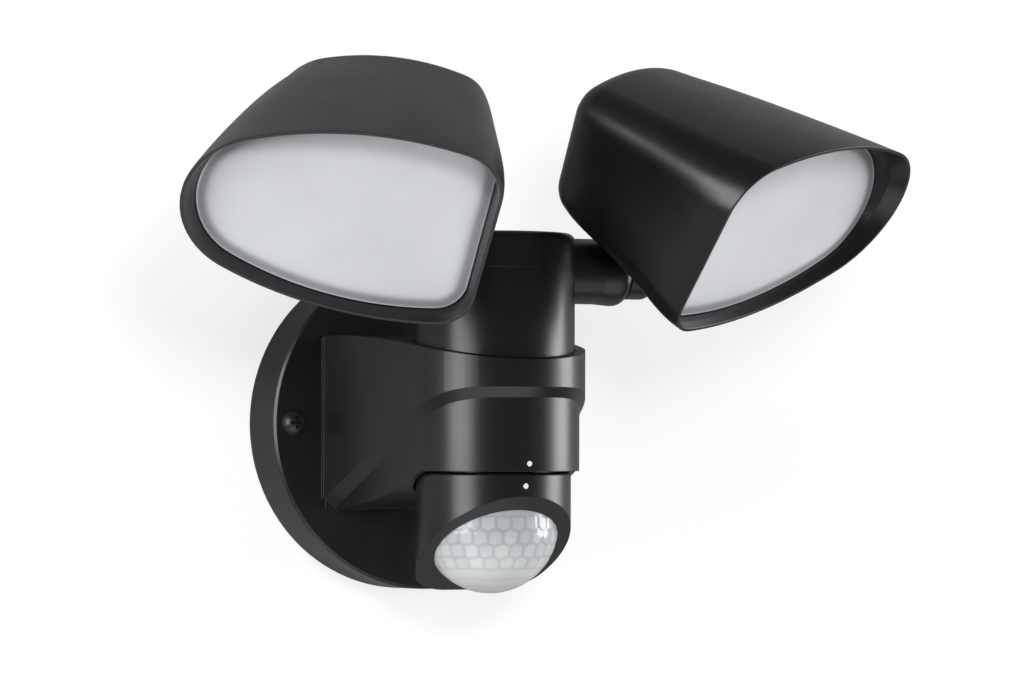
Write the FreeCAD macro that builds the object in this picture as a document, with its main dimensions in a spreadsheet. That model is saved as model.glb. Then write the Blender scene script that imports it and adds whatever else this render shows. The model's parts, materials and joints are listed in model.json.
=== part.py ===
import FreeCAD, Part
import Sketcher
import math
import os

# Twin-head motion sensor security light for an outside wall.
# Millimetres. The origin is the centre of the wall plate's back face, on the wall.
# +Z is up, the light faces -Y, and +X is to the right of someone facing the wall.

Vector = FreeCAD.Vector
Rotation = FreeCAD.Rotation
Placement = FreeCAD.Placement
X_AXIS = Vector(1, 0, 0)
Y_AXIS = Vector(0, 1, 0)
Z_AXIS = Vector(0, 0, 1)

doc = FreeCAD.newDocument("SecurityLight")
sheet = doc.addObject("Spreadsheet::Sheet", "Sizes")

SIZES = [
    # round wall plate, a shallow dish that is open towards the wall
    ("plate_radius", 60.0), ("plate_depth", 22.8), ("plate_draft", 0.4), ("plate_edge", 0.9),
    ("plate_wall", 2.6), ("plate_front", 3.0), ("ledge_width", 2.8), ("gasket_thick", 2.0),
    ("gasket_slack", 0.1), ("plate_screw_offset", 52.0), ("plate_boss_radius", 5.0),
    ("plate_screw_radius", 2.5), ("screw_play", 0.2), ("plate_head_radius", 4.6),
    ("plate_head_height", 3.4), ("cross_width", 0.9), ("cross_length", 4.6),
    ("cross_depth", 1.8), ("grommet_hole_radius", 9.0), ("grommet_height", 5.0),
    ("grommet_lip", 2.0), ("grommet_bore_radius", 5.0), ("grommet_lip_thick", 1.5),
    # steel strap that is screwed to the wall box and carries the plate
    ("strap_length", 108.0), ("strap_width", 14.0), ("strap_thick", 2.0),
    ("strap_slot_offset", 30.0), ("strap_slot_length", 12.0), ("strap_slot_width", 4.6),
    ("strap_wire_radius", 5.0),
    # mains terminal block inside the plate
    ("terminal_length", 30.0), ("terminal_width", 14.0), ("terminal_thick", 11.0),
    ("terminal_height", 29.0), ("terminal_pitch", 9.0), ("terminal_bore_radius", 1.8),
    ("terminal_screw_radius", 1.9), ("terminal_screw_height", 1.0),
    # bracket: foot on the plate, flared body and collar
    ("foot_width", 84.0), ("foot_height", 62.0), ("foot_rise", 0.25), ("foot_thick", 1.4),
    ("foot_inset", 0.8), ("flare_top_back", 31.0), ("flare_top_mid", 27.9),
    ("flare_top_front", 21.8), ("crease_back", -30.3), ("crease_front", 8.9),
    ("crease_knee", 20.5), ("crease_turn", 18.0), ("notch_width", 1.5),
    ("notch_height", 3.6), ("lower_foot_width", 73.0), ("flare_bottom_back", -30.6),
    ("flare_bottom_mid", -26.9), ("flare_bottom_front", -18.6), ("flare_bottom_bow", 26.0),
    ("flare_bottom_end", 1.0), ("collar_start", 5.0), ("collar_bottom", -16.5),
    ("collar_radius", 31.9), ("collar_lower_radius", 29.9), ("band_height", 3.6),
    ("duct_width_back", 62.0), ("duct_width_front", 36.0), ("duct_bottom", -14.0),
    ("duct_top", 25.0), ("duct_wall", 2.6), ("passage_width", 16.0), ("passage_bottom", 14.0),
    ("passage_top", 26.0), ("bracket_screw_x", 26.0), ("bracket_screw_z", 18.0),
    ("bracket_boss_radius", 4.5), ("bracket_screw_radius", 1.9), ("bracket_screw_length", 16.0),
    ("bracket_head_radius", 3.6), ("bracket_head_height", 2.4), ("foot_seal_width", 3.0),
    ("foot_seal_thick", 1.0), ("foot_seal_margin", 2.5),
    # vertical column
    ("column_offset", 79.0), ("column_radius", 28.2), ("column_wall", 2.5),
    ("column_play", 0.25), ("column_base", -4.0), ("collar_floor", -9.0),
    ("split_height", 53.4), ("cap_top", 66.0), ("cap_round", 2.8), ("cap_thick", 2.6),
    ("seal_depth", 1.2), ("seal_base", 14.0), ("seal_height", 2.2),
    ("column_screw_x", 14.0), ("column_screw_z", 4.0), ("column_screw_radius", 1.45),
    ("column_screw_length", 12.0), ("column_head_radius", 2.8), ("column_head_height", 2.0),
    ("column_boss_radius", 3.4), ("column_boss_length", 5.0),
    ("cap_screw_offset", 20.0), ("cap_screw_radius", 1.5), ("cap_lug_radius", 4.0),
    ("cap_lug_height", 9.0), ("cap_head_radius", 2.8), ("cap_head_height", 2.2),
    ("cap_thread_length", 8.0),
    # lamp driver inside the column
    ("board_offset", 8.0), ("board_thick", 1.6), ("board_width", 45.0), ("board_base", -2.5),
    ("board_height", 41.0), ("rail_depth", 4.8), ("rail_overlap", 1.6),
    ("transformer_width", 20.0), ("transformer_depth", 14.0), ("transformer_height", 17.0),
    ("capacitor_radius", 4.0), ("capacitor_length", 14.0), ("capacitor_pitch", 9.5),
    ("relay_width", 12.0), ("relay_depth", 12.0), ("relay_height", 15.0),
    ("connector_width", 16.0), ("connector_depth", 7.0), ("connector_height", 6.0),
    # side arms
    ("arm_radius", 11.5), ("arm_flare", 0.5), ("arm_end", 49.5), ("arm_end_round", 4.2),
    ("arm_neck_radius", 8.5), ("arm_flange_radius", 9.8), ("arm_inner_end", 19.5),
    ("arm_seal_depth", 1.8), ("arm_seal_width", 1.9), ("spigot_radius", 5.5),
    ("running_play", 0.06), ("seat_play", 0.1),
    # elbow: knuckle that tilts in the arm and neck that carries the lamp
    ("pivot_offset", 54.6), ("knuckle_radius", 9.6), ("knuckle_end", 5.5),
    ("knuckle_round", 4.0), ("knuckle_gap", 0.15), ("neck_radius", 4.9), ("neck_length", 12.4),
    ("neck_spigot_radius", 4.2), ("boss_length", 16.0), ("elbow_bore_radius", 2.4),
    ("washer_thick", 1.0), ("washer_radius", 8.2), ("nut_flats", 13.0), ("nut_thick", 4.0),
    ("thread_tail", 1.5), ("tilt_right", 21.64), ("tilt_left", 20.77),
    ("swivel_right", 4.37), ("swivel_left", -4.37),
    # lamp head: section across the light beam, in the head's own frame
    ("seat_yaw", 35.818), ("seat_pitch", -7.887), ("seat_roll", 97.574),
    ("pivot_across", 46.9), ("pivot_below", 40.8), ("pivot_behind", 55.8),
    ("head_upper", 36.0), ("head_lower", 33.7), ("head_width", 99.3),
    ("corner_upper", 16.5), ("corner_lower", 13.4), ("tip_round", 28.3),
    ("bow_upper", 2.062), ("bow_lower", 2.086), ("head_depth", 79.1), ("back_scale", 0.658),
    ("back_shift", 3.7), ("back_lift", 7.2), ("back_slope", 0.165), ("taper_power", 1.44),
    ("slope_share", 0.5), ("rim_slope", 0.311), ("rim_twist", 0.187), ("lens_slope", 0.331),
    ("lens_twist", 0.018), ("head_wall", 2.3), ("rim_edge", 1.1), ("mouth_depth", 4.2),
    ("back_round", 7.0), ("lens_recess", 10.4), ("lens_thick", 2.4), ("lens_play", 0.3),
    ("lens_field_step", 0.7), ("lens_flange", 4.6), ("lens_gasket_thick", 1.2),
    ("ledge_reach", 2.2),
    ("lens_ledge_thick", 2.0), ("board_gap", 11.0), ("led_board_thick", 1.6),
    ("led_board_margin", 2.0), ("spreader_thick", 3.0), ("spreader_ledge_reach", 6.0),
    ("spreader_ledge_thick", 2.4), ("led_size", 3.0), ("led_height", 0.8),
    ("led_pitch_across", 11.0), ("led_pitch_up", 10.0), ("board_screw_radius", 1.3),
    ("board_head_radius", 2.4), ("board_head_height", 1.6), ("head_boss_radius", 10.0),
    # swivelling sensor housing with a slanted face
    ("sensor_radius", 27.0), ("sensor_top", -17.0), ("sensor_bottom", -58.5),
    ("sensor_wall", 2.6), ("sensor_face_angle", 35.5), ("face_height", -44.36),
    ("face_plate", 2.5), ("sensor_round", 5.0), ("sensor_top_round", 1.2),
    ("sensor_clear", 0.8), ("swivel_radius", 22.0), ("swivel_wall", 2.6),
    ("swivel_play", 0.08), ("swivel_lift", 0.2), ("retainer_radius", 25.6),
    ("retainer_thick", 2.4), ("retainer_screw_radius", 0.9), ("retainer_head_radius", 1.7),
    ("retainer_head_height", 1.0), ("retainer_screw_length", 6.0),
    ("dome_shift", 3.0), ("dome_radius", 23.9), ("dome_sink", 9.0), ("dome_rim_radius", 22.0),
    ("dome_wall", 0.9), ("dome_play", 0.12), ("dome_flange_radius", 23.4),
    ("dome_flange_thick", 1.2), ("clamp_thick", 1.6), ("clamp_bore_radius", 19.6),
    ("post_offset", 15.5), ("post_radius", 2.4), ("post_length", 6.5),
    ("sensor_board_radius", 18.5), ("sensor_board_thick", 1.4), ("pyro_radius", 4.6),
    ("pyro_height", 4.2), ("photocell_radius", 2.0), ("photocell_height", 2.4),
    ("photocell_offset", 9.0), ("sensor_screw_radius", 1.1), ("sensor_head_radius", 2.0),
    ("sensor_head_height", 1.3), ("sensor_screw_length", 4.5),
    # white index dots on the collar and on the sensor housing
    ("dot_radius", 0.95), ("dot_depth", 0.6), ("collar_dot_height", -13.8),
    ("sensor_dot_height", -21.5),
]


class Size:
    """A length that keeps both its number and the sheet expression it comes from."""

    def __init__(self, value, text):
        self.value = float(value)
        self.text = text

    def __float__(self):
        return self.value

    def combine(self, other, value, sign, flip=False):
        right = other.text if isinstance(other, Size) else repr(float(other))
        pair = (right, sign, self.text) if flip else (self.text, sign, right)
        return Size(value, "(%s %s %s)" % pair)

    def __add__(self, other):
        return self.combine(other, self.value + float(other), "+")

    def __radd__(self, other):
        return self.combine(other, self.value + float(other), "+", True)

    def __sub__(self, other):
        return self.combine(other, self.value - float(other), "-")

    def __rsub__(self, other):
        return self.combine(other, float(other) - self.value, "-", True)

    def __mul__(self, other):
        return self.combine(other, self.value * float(other), "*")

    def __rmul__(self, other):
        return self.combine(other, self.value * float(other), "*", True)

    def __truediv__(self, other):
        return self.combine(other, self.value / float(other), "/")

    def __neg__(self):
        return self.combine(0.0, -self.value, "-", True)


class Values:
    """The named sizes of the sheet, each as a Size."""


sheet.set("A1", "size")
sheet.set("B1", "value")
for row, (name, number) in enumerate(SIZES, start=2):
    sheet.set("A%d" % row, name)
    sheet.set("B%d" % row, str(number))
    sheet.setAlias("B%d" % row, name)
doc.recompute()
P = Values()
for name, number in SIZES:
    setattr(P, name, Size(getattr(sheet, name), "Sizes." + name))

NODES = []
count = [0]


def fresh(stem):
    """A name for a helper object that no other object has."""
    count[0] += 1
    return "%s_%03d" % (stem, count[0])


def bind(obj, prop, size):
    if isinstance(size, Size):
        obj.setExpression(prop, size.text)
    else:
        setattr_number(obj, prop, size)


def setattr_number(obj, prop, number):
    obj.setExpression(prop, repr(float(number)))


def place(obj, x=0.0, y=0.0, z=0.0, rotation=None):
    if rotation is not None:
        obj.Placement = Placement(Vector(float(x), float(y), float(z)), rotation)
    for axis, size in (("x", x), ("y", y), ("z", z)):
        bind(obj, "Placement.Base." + axis, size)
    return obj


ALONG_X = Rotation(Y_AXIS, 90)
ALONG_Y = Rotation(X_AXIS, -90)
TO_FRONT = Rotation(X_AXIS, 90)


def cylinder(radius, height, x=0.0, y=0.0, z=0.0, rotation=None):
    obj = doc.addObject("Part::Cylinder", fresh("cylinder"))
    bind(obj, "Radius", radius)
    bind(obj, "Height", height)
    return place(obj, x, y, z, rotation)


def box(length, width, height, x=0.0, y=0.0, z=0.0, rotation=None):
    """A box from its low corner; length, width and height lie along X, Y and Z."""
    obj = doc.addObject("Part::Box", fresh("box"))
    bind(obj, "Length", length)
    bind(obj, "Width", width)
    bind(obj, "Height", height)
    return place(obj, x, y, z, rotation)


def cut(base, *tools):
    for tool in tools:
        obj = doc.addObject("Part::Cut", fresh("cut"))
        obj.Base = base
        obj.Tool = tool
        base = obj
    return base


def fuse(*parts):
    obj = doc.addObject("Part::MultiFuse", fresh("fuse"))
    obj.Shapes = list(parts)
    obj.Refine = True
    return obj


def common(base, tool):
    obj = doc.addObject("Part::Common", fresh("common"))
    obj.Base = base
    obj.Tool = tool
    return obj


def fixed(shape, stem="shape"):
    obj = doc.addObject("Part::Feature", fresh(stem))
    obj.Shape = shape
    return obj


def node(label, obj):
    """Names a finished sub-part after the piece that it is."""
    obj.Label = label
    NODES.append(obj)
    return obj


def shape_node(label, shape, placement=None):
    obj = doc.addObject("Part::Feature", label)
    obj.Shape = shape
    if placement is not None:
        obj.Placement = placement
    return node(label, obj)


def origin_plane(body, role):
    for feature in body.Origin.OriginFeatures:
        if feature.Role == role:
            return feature
    raise ValueError(role)


def new_body(label):
    body = doc.addObject("PartDesign::Body", label)
    return body


def new_sketch(body, role, offset=None):
    sketch = body.newObject("Sketcher::SketchObject", fresh("sketch"))
    sketch.AttachmentSupport = [(origin_plane(body, role), "")]
    sketch.MapMode = "FlatFace"
    if offset is not None:
        bind(sketch, "AttachmentOffset.Base.z", offset)
    return sketch


def hold_point(sketch, geometry, point, x, y):
    """Ties one point of a sketch to its two sizes, measured from the sketch's origin."""
    for kind, size, axis in (("DistanceX", x, -2), ("DistanceY", y, -1)):
        if not isinstance(size, Size) and abs(size) < 1e-9:
            sketch.addConstraint(Sketcher.Constraint("PointOnObject", geometry, point, axis))
            continue
        number = float(size)
        item = sketch.addConstraint(Sketcher.Constraint(kind, -1, 1, geometry, point, number))
        if isinstance(size, Size):
            sketch.setExpression("Constraints[%d]" % item, size.text)


def polygon(sketch, points):
    first = sketch.GeometryCount
    corners = [Vector(float(x), float(y), 0) for x, y in points]
    total = len(corners)
    for index in range(total):
        sketch.addGeometry(Part.LineSegment(corners[index], corners[(index + 1) % total]))
    for index in range(total):
        following = first + (index + 1) % total
        sketch.addConstraint(Sketcher.Constraint("Coincident", first + index, 2, following, 1))
    for index, (x, y) in enumerate(points):
        hold_point(sketch, first + index, 1, x, y)


def circle(sketch, x, y, radius):
    round_edge = Part.Circle(Vector(float(x), float(y), 0), Z_AXIS, float(radius))
    geometry = sketch.addGeometry(round_edge)
    hold_point(sketch, geometry, 3, x, y)
    item = sketch.addConstraint(Sketcher.Constraint("Radius", geometry, float(radius)))
    if isinstance(radius, Size):
        sketch.setExpression("Constraints[%d]" % item, radius.text)


def rectangle(sketch, x0, y0, x1, y1):
    polygon(sketch, [(x0, y0), (x1, y0), (x1, y1), (x0, y1)])


def add_feature(body, kind, sketch):
    feature = body.newObject("PartDesign::" + kind, fresh(kind.lower()))
    feature.Profile = sketch
    sketch.Visibility = False
    return feature


def pad(body, sketch, length, reverse=False):
    feature = add_feature(body, "Pad", sketch)
    bind(feature, "Length", length)
    feature.Reversed = reverse
    doc.recompute()
    return feature


def pocket(body, sketch, length, reverse=False):
    """Cuts a pocket and makes sure that it takes material away."""
    before = body.Shape.Volume
    feature = add_feature(body, "Pocket", sketch)
    bind(feature, "Length", length)
    feature.Reversed = reverse
    doc.recompute()
    if body.Shape.Volume > before - 1e-3:
        raise RuntimeError("a pocket of %s cuts nothing" % body.Name)
    return feature


def turned(body, points, axis="V_Axis", role="XY_Plane"):
    """Turns a closed profile of (x, y) points once round an axis of its own sketch."""
    sketch = new_sketch(body, role)
    polygon(sketch, points)
    feature = add_feature(body, "Revolution", sketch)
    feature.ReferenceAxis = (sketch, [axis])
    feature.Angle = 360
    doc.recompute()
    return feature


def round_edges(body, feature, chosen, radius):
    """Rounds the edges of a feature that the test named chosen picks."""
    names = []
    for index, edge in enumerate(feature.Shape.Edges, start=1):
        if chosen(edge):
            names.append("Edge%d" % index)
    if not names:
        raise RuntimeError("no edge to round on %s" % body.Name)
    fillet = body.newObject("PartDesign::Fillet", fresh("fillet"))
    fillet.Base = (feature, names)
    bind(fillet, "Radius", radius)
    doc.recompute()
    return fillet


def ring_at(radius, level, direction="Z"):
    """A test for a full circle of one radius at one height along an axis."""
    def chosen(edge):
        curve = edge.Curve
        if not isinstance(curve, Part.Circle):
            return False
        centre = getattr(curve.Center, direction.lower())
        return abs(curve.Radius - float(radius)) < 1e-4 and abs(centre - float(level)) < 1e-4
    return chosen


def screw(head_radius, head_height, shank_radius, length, domed=False):
    """A screw along +Z: its head's underside at 0, its shank going down to -length."""
    head = Part.makeCylinder(head_radius, head_height)
    if domed:
        rise = head_height
        ball = (head_radius ** 2 + rise ** 2) / (2 * rise)
        low = Vector(0, 0, rise - ball)
        head = Part.makeSphere(ball, low, Z_AXIS, -90, 90, 360)
        head = head.common(Part.makeCylinder(head_radius, head_height))
    shank = Part.makeCylinder(shank_radius, length, Vector(0, 0, -length))
    solid = head.fuse(shank).removeSplitter()
    return solid


def copies(shape, placements):
    solids = []
    for placement in placements:
        piece = shape.copy()
        piece.Placement = placement.multiply(piece.Placement)
        solids.append(piece)
    return Part.makeCompound(solids)


# --------------------------------------------------------------------------
# Wall plate and what it holds
# --------------------------------------------------------------------------
plate_inner = P.plate_radius - P.plate_wall
ledge_inner = plate_inner - P.ledge_width
plate_floor = -(P.plate_depth - P.plate_front)
plate_face = -P.plate_depth

wall_plate = new_body("wall_plate")
turned(wall_plate, [
    (0.0, plate_face), (P.plate_radius - P.plate_draft - P.plate_edge, plate_face),
    (P.plate_radius - P.plate_draft, plate_face + P.plate_edge), (P.plate_radius, 0.0),
    (plate_inner, 0.0), (plate_inner, -P.gasket_thick), (ledge_inner, -P.gasket_thick),
    (ledge_inner, -2.0 * P.gasket_thick), (plate_inner, -2.0 * P.gasket_thick),
    (plate_inner, plate_floor), (0.0, plate_floor)])
boss_sketch = new_sketch(wall_plate, "XZ_Plane", P.strap_thick)
for side in (-1.0, 1.0):
    circle(boss_sketch, side * P.plate_screw_offset, 0.0, P.plate_boss_radius)
pad(wall_plate, boss_sketch, P.plate_depth - P.strap_thick - 0.5 * P.plate_front)
hole_sketch = new_sketch(wall_plate, "XZ_Plane", P.plate_depth)
for side in (-1.0, 1.0):
    circle(hole_sketch, side * P.plate_screw_offset, 0.0, P.plate_screw_radius + P.screw_play)
    for level in (-1.0, 1.0):
        circle(hole_sketch, side * P.bracket_screw_x, level * P.bracket_screw_z,
               P.bracket_screw_radius + P.screw_play)
circle(hole_sketch, 0.0, P.grommet_height, P.grommet_hole_radius)
pocket(wall_plate, hole_sketch, P.plate_depth)
node("wall_plate", wall_plate)

wall_gasket = new_body("wall_gasket")
turned(wall_gasket, [
    (ledge_inner + P.gasket_slack, 0.0), (plate_inner - P.gasket_slack, 0.0),
    (plate_inner - P.gasket_slack, -P.gasket_thick),
    (ledge_inner + P.gasket_slack, -P.gasket_thick)])
node("wall_gasket", wall_gasket)

strap = new_body("strap_blank")
strap_sketch = new_sketch(strap, "XZ_Plane")
rectangle(strap_sketch, -0.5 * P.strap_length, -0.5 * P.strap_width,
          0.5 * P.strap_length, 0.5 * P.strap_width)
pad(strap, strap_sketch, P.strap_thick)
strap_holes = new_sketch(strap, "XZ_Plane", P.strap_thick)
for side in (-1.0, 1.0):
    circle(strap_holes, side * P.plate_screw_offset, 0.0, P.plate_screw_radius + P.running_play)
circle(strap_holes, 0.0, 0.0, P.strap_wire_radius)
pocket(strap, strap_holes, P.strap_thick)


def slot_shape(length, width, depth):
    """A round-ended slot along X, centred on the origin, going up +Z."""
    reach = (length - width) / 2
    bar = Part.makeBox(2 * reach, width, depth, Vector(-reach, -width / 2, 0))
    for side in (-1, 1):
        bar = bar.fuse(Part.makeCylinder(width / 2, depth, Vector(side * reach, 0, 0)))
    return bar


slots = copies(
    slot_shape(float(P.strap_slot_length), float(P.strap_slot_width), float(P.strap_thick) + 2),
    [Placement(Vector(side * float(P.strap_slot_offset), 1, 0), TO_FRONT) for side in (-1, 1)])
node("mounting_strap", cut(strap, fixed(slots, "slots")))

plate_screw = screw(float(P.plate_head_radius), float(P.plate_head_height),
                    float(P.plate_screw_radius), float(P.plate_depth) - 0.2, domed=True)
recess_width = float(P.cross_width)
recess_length = float(P.cross_length)
for length, width in ((recess_length, recess_width), (recess_width, recess_length)):
    plate_screw = plate_screw.cut(Part.makeBox(
        length, width, 10, Vector(-length / 2, -width / 2,
                                  float(P.plate_head_height - P.cross_depth))))
shape_node("plate_screws", copies(plate_screw, [
    Placement(Vector(side * float(P.plate_screw_offset), float(plate_face), 0), TO_FRONT)
    for side in (-1, 1)]))

terminal_low = plate_floor
terminal = box(P.terminal_length, P.terminal_thick, P.terminal_width,
               -0.5 * P.terminal_length, terminal_low, P.terminal_height - 0.5 * P.terminal_width)
terminal_tools = []
for index in (-1.0, 0.0, 1.0):
    terminal_tools.append(cylinder(
        P.terminal_bore_radius, P.terminal_width + 2.0, index * P.terminal_pitch,
        terminal_low + 0.45 * P.terminal_thick, P.terminal_height - 0.5 * P.terminal_width - 1.0))
node("terminal_block", cut(terminal, *terminal_tools))
terminal_screw = Part.makeCylinder(float(P.terminal_screw_radius), float(P.terminal_screw_height))
shape_node("terminal_screws", copies(terminal_screw, [
    Placement(Vector(index * float(P.terminal_pitch), float(terminal_low + P.terminal_thick),
                     float(P.terminal_height) + level * 0.28 * float(P.terminal_width)), ALONG_Y)
    for index in (-1, 0, 1) for level in (-1, 1)]))

grommet = new_body("wire_grommet")
lip_outer = P.grommet_hole_radius + P.grommet_lip
front_lip = plate_face - P.grommet_lip_thick
rear_lip = plate_floor + P.grommet_lip_thick
turned(grommet, [
    (P.grommet_bore_radius, front_lip), (lip_outer, front_lip), (lip_outer, plate_face),
    (P.grommet_hole_radius, plate_face), (P.grommet_hole_radius, plate_floor),
    (lip_outer, plate_floor), (lip_outer, rear_lip), (P.grommet_bore_radius, rear_lip)])
bind(grommet, "Placement.Base.z", P.grommet_height)
node("wire_grommet", grommet)

# --------------------------------------------------------------------------
# Bracket: foot, flared body and collar as one moulding
# --------------------------------------------------------------------------
foot_face = plate_face - P.foot_thick
AXIS_Y = -float(P.column_offset)


def flare_outline(half_foot, radius, start):
    """Plan of the flare: straight sides from the foot, tangent to the round collar."""
    distance = start - AXIS_Y
    away = math.hypot(half_foot, distance)
    angle = math.atan2(distance, half_foot) - math.acos(radius / away)
    touch = Vector(radius * math.cos(angle), AXIS_Y + radius * math.sin(angle), 0)
    near = Vector(half_foot, start, 0)
    far = Vector(0, AXIS_Y - radius, 0)
    left = Vector(-touch.x, touch.y, 0)
    edges = [
        Part.LineSegment(Vector(-half_foot, start, 0), near).toShape(),
        Part.LineSegment(near, touch).toShape(),
        Part.Arc(touch, far, left).toShape(),
        Part.LineSegment(left, Vector(-half_foot, start, 0)).toShape()]
    return Part.Face(Part.Wire(edges))


def prism_z(face, low, high):
    face = face.copy()
    face.translate(Vector(0, 0, low))
    return face.extrude(Vector(0, 0, high - low))


def side_prism(points, width):
    """A prism along X from a closed outline of (y, z) points."""
    corners = [Vector(-width, y, z) for y, z in points]
    corners.append(corners[0])
    return Part.Face(Part.makePolygon(corners)).extrude(Vector(2 * width, 0, 0))


def grown_plan(half_foot, start):
    """The upper body's plan as a solid: it grows over the bevel, then goes straight up."""
    height = float(P.band_height)
    low = flare_outline(float(P.lower_foot_width) / 2, float(P.collar_lower_radius),
                        start).OuterWire
    high = flare_outline(half_foot, float(P.collar_radius), start)
    top = high.OuterWire.copy()
    top.translate(Vector(0, 0, height))
    bevel = Part.makeLoft([low, top], True, True)
    return bevel.fuse(prism_z(high, height, height + 90))


def crease_stations(front, start):
    """(y, z) points of the crease: level in front, a turn, then straight to the foot."""
    middle = AXIS_Y - float(P.crease_knee)
    turn = float(P.crease_turn)
    level = float(P.crease_front)
    slope = (float(P.crease_back) - level) / (start - middle)
    points = [(front - 5.0, level)]
    steps = 6
    for index in range(steps + 1):
        along = turn * index / steps
        points.append((middle - turn / 2 + along, level + slope * along ** 2 / (2 * turn)))
    points.append((start, float(P.crease_back)))
    return points


def lower_line(y, outline):
    """Height of the lower body's bottom edge at a place along the bracket."""
    for near, far in zip(outline[:-1], outline[1:]):
        if far[0] <= y <= near[0]:
            return near[1] + (far[1] - near[1]) * (y - near[0]) / (far[0] - near[0])
    return outline[-1][1]


def bracket_shape():
    start = float(foot_face)
    back = float(plate_face)
    radius = float(P.collar_radius)
    lower_radius = float(P.collar_lower_radius)
    front = AXIS_Y - radius - 2
    half_foot = float(P.foot_width) / 2
    wide = half_foot + 5
    # upper body, between the arched top and the crease
    arch = Part.Arc(Vector(0, start, float(P.flare_top_back)),
                    Vector(0, AXIS_Y + 4, float(P.flare_top_mid)),
                    Vector(0, front, float(P.flare_top_front) - 0.3))
    arch_points = [(point.y, point.z) for point in arch.discretize(25)]
    upper_side = side_prism(arch_points + [(front, -60.0), (start, -60.0)], wide)
    grown = grown_plan(half_foot - float(P.foot_inset), start)
    stations = crease_stations(front, start)
    pieces = []
    for near, far in zip(stations[:-1], stations[1:]):
        slope = (far[1] - near[1]) / (far[0] - near[0])
        lean = FreeCAD.Matrix()
        lean.A32 = slope
        lean.A34 = near[1] - slope * near[0]
        band = Part.makeBox(2 * wide, far[0] - near[0], 200, Vector(-wide, near[0], -100))
        leaning = grown.transformGeometry(lean) if abs(slope) > 1e-6 else grown.copy()
        if abs(slope) <= 1e-6:
            leaning.translate(Vector(0, 0, near[1]))
        pieces.append(leaning.common(band))
    upper = pieces[0].fuse(pieces[1:]).common(upper_side)
    # lower body, slimmer, between the crease and the bottom
    bottom = float(P.collar_bottom)
    belly = Part.Arc(Vector(0, start, float(P.flare_bottom_back)),
                     Vector(0, start - float(P.flare_bottom_bow), float(P.flare_bottom_mid)),
                     Vector(0, AXIS_Y + float(P.flare_bottom_end), float(P.flare_bottom_front)))
    lower_points = [(point.y, point.z) for point in belly.discretize(13)]
    lower_points += [(AXIS_Y - float(P.collar_start), bottom), (front, bottom)]
    lower_points += [(y, z + 1.0) for y, z in stations if z + 1.0 > lower_line(y, lower_points)]
    lower_plan = flare_outline(float(P.lower_foot_width) / 2, lower_radius, start)
    lower = prism_z(lower_plan, -60, 60).common(side_prism(lower_points, wide))
    foot = Part.makeBox(2 * half_foot, float(P.foot_thick), float(P.foot_height),
                        Vector(-half_foot, start, float(P.foot_rise - 0.5 * P.foot_height)))
    corners = [edge for edge in foot.Edges if edge.BoundBox.YLength > float(P.foot_thick) / 2]
    foot = foot.makeFillet(1.5, corners)
    for side in (-1, 1):
        notch = float(P.notch_width)
        edge = half_foot - notch if side > 0 else -half_foot
        low = float(P.foot_rise - 0.5 * P.foot_height)
        foot = foot.cut(Part.makeBox(notch, float(P.foot_thick), float(P.notch_height),
                                     Vector(edge, start, low)))
    body = foot.fuse([upper, lower])
    # inside: duct from the plate, bore for the column, floor for the sensor swivel
    play = float(P.column_play)
    bore = Part.makeCylinder(float(P.column_radius) + play, 80,
                             Vector(0, AXIS_Y, float(P.column_base)))
    relief = Part.makeCylinder(float(P.retainer_radius) + 0.8,
                               float(P.column_base - P.collar_floor) + 0.1,
                               Vector(0, AXIS_Y, float(P.collar_floor)))
    swivel = Part.makeCylinder(float(P.swivel_radius + P.swivel_play), 40,
                               Vector(0, AXIS_Y, -40))
    under = Part.makeCylinder(float(P.sensor_radius + P.sensor_clear), 60,
                              Vector(0, AXIS_Y, bottom - 60))
    back_half = float(P.duct_width_back) / 2
    front_half = float(P.duct_width_front) / 2
    duct_end = AXIS_Y + 8
    duct_plan = Part.Face(Part.makePolygon([
        Vector(-back_half, back + 1, 0), Vector(back_half, back + 1, 0),
        Vector(front_half, duct_end, 0), Vector(-front_half, duct_end, 0),
        Vector(-back_half, back + 1, 0)]))
    duct = prism_z(duct_plan, float(P.duct_bottom), float(P.duct_top))
    keep = Part.makeCylinder(float(P.column_radius) + play + float(P.duct_wall), 200,
                             Vector(0, AXIS_Y, -100))
    duct = duct.cut(keep)
    passage = Part.makeBox(float(P.passage_width), 24, float(P.passage_top - P.passage_bottom),
                           Vector(-float(P.passage_width) / 2, AXIS_Y + 20,
                                  float(P.passage_bottom)))
    body = body.cut([bore, relief, swivel, under, duct, passage])
    # bosses for the four screws that come through the plate
    sites = [(sx * float(P.bracket_screw_x), sz * float(P.bracket_screw_z))
             for sx in (-1, 1) for sz in (-1, 1)]
    depth = float(P.bracket_screw_length)
    for x, z in sites:
        boss = Part.makeCylinder(float(P.bracket_boss_radius), depth, Vector(x, back, z),
                                 Vector(0, -1, 0))
        body = body.fuse(boss.common(Part.makeBox(2 * wide, 60, 90, Vector(-wide, back - 60, -45))))
    for x, z in sites:
        body = body.cut(Part.makeCylinder(float(P.bracket_screw_radius + P.running_play), depth - 1,
                                          Vector(x, back + 0.1, z), Vector(0, -1, 0)))
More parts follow.
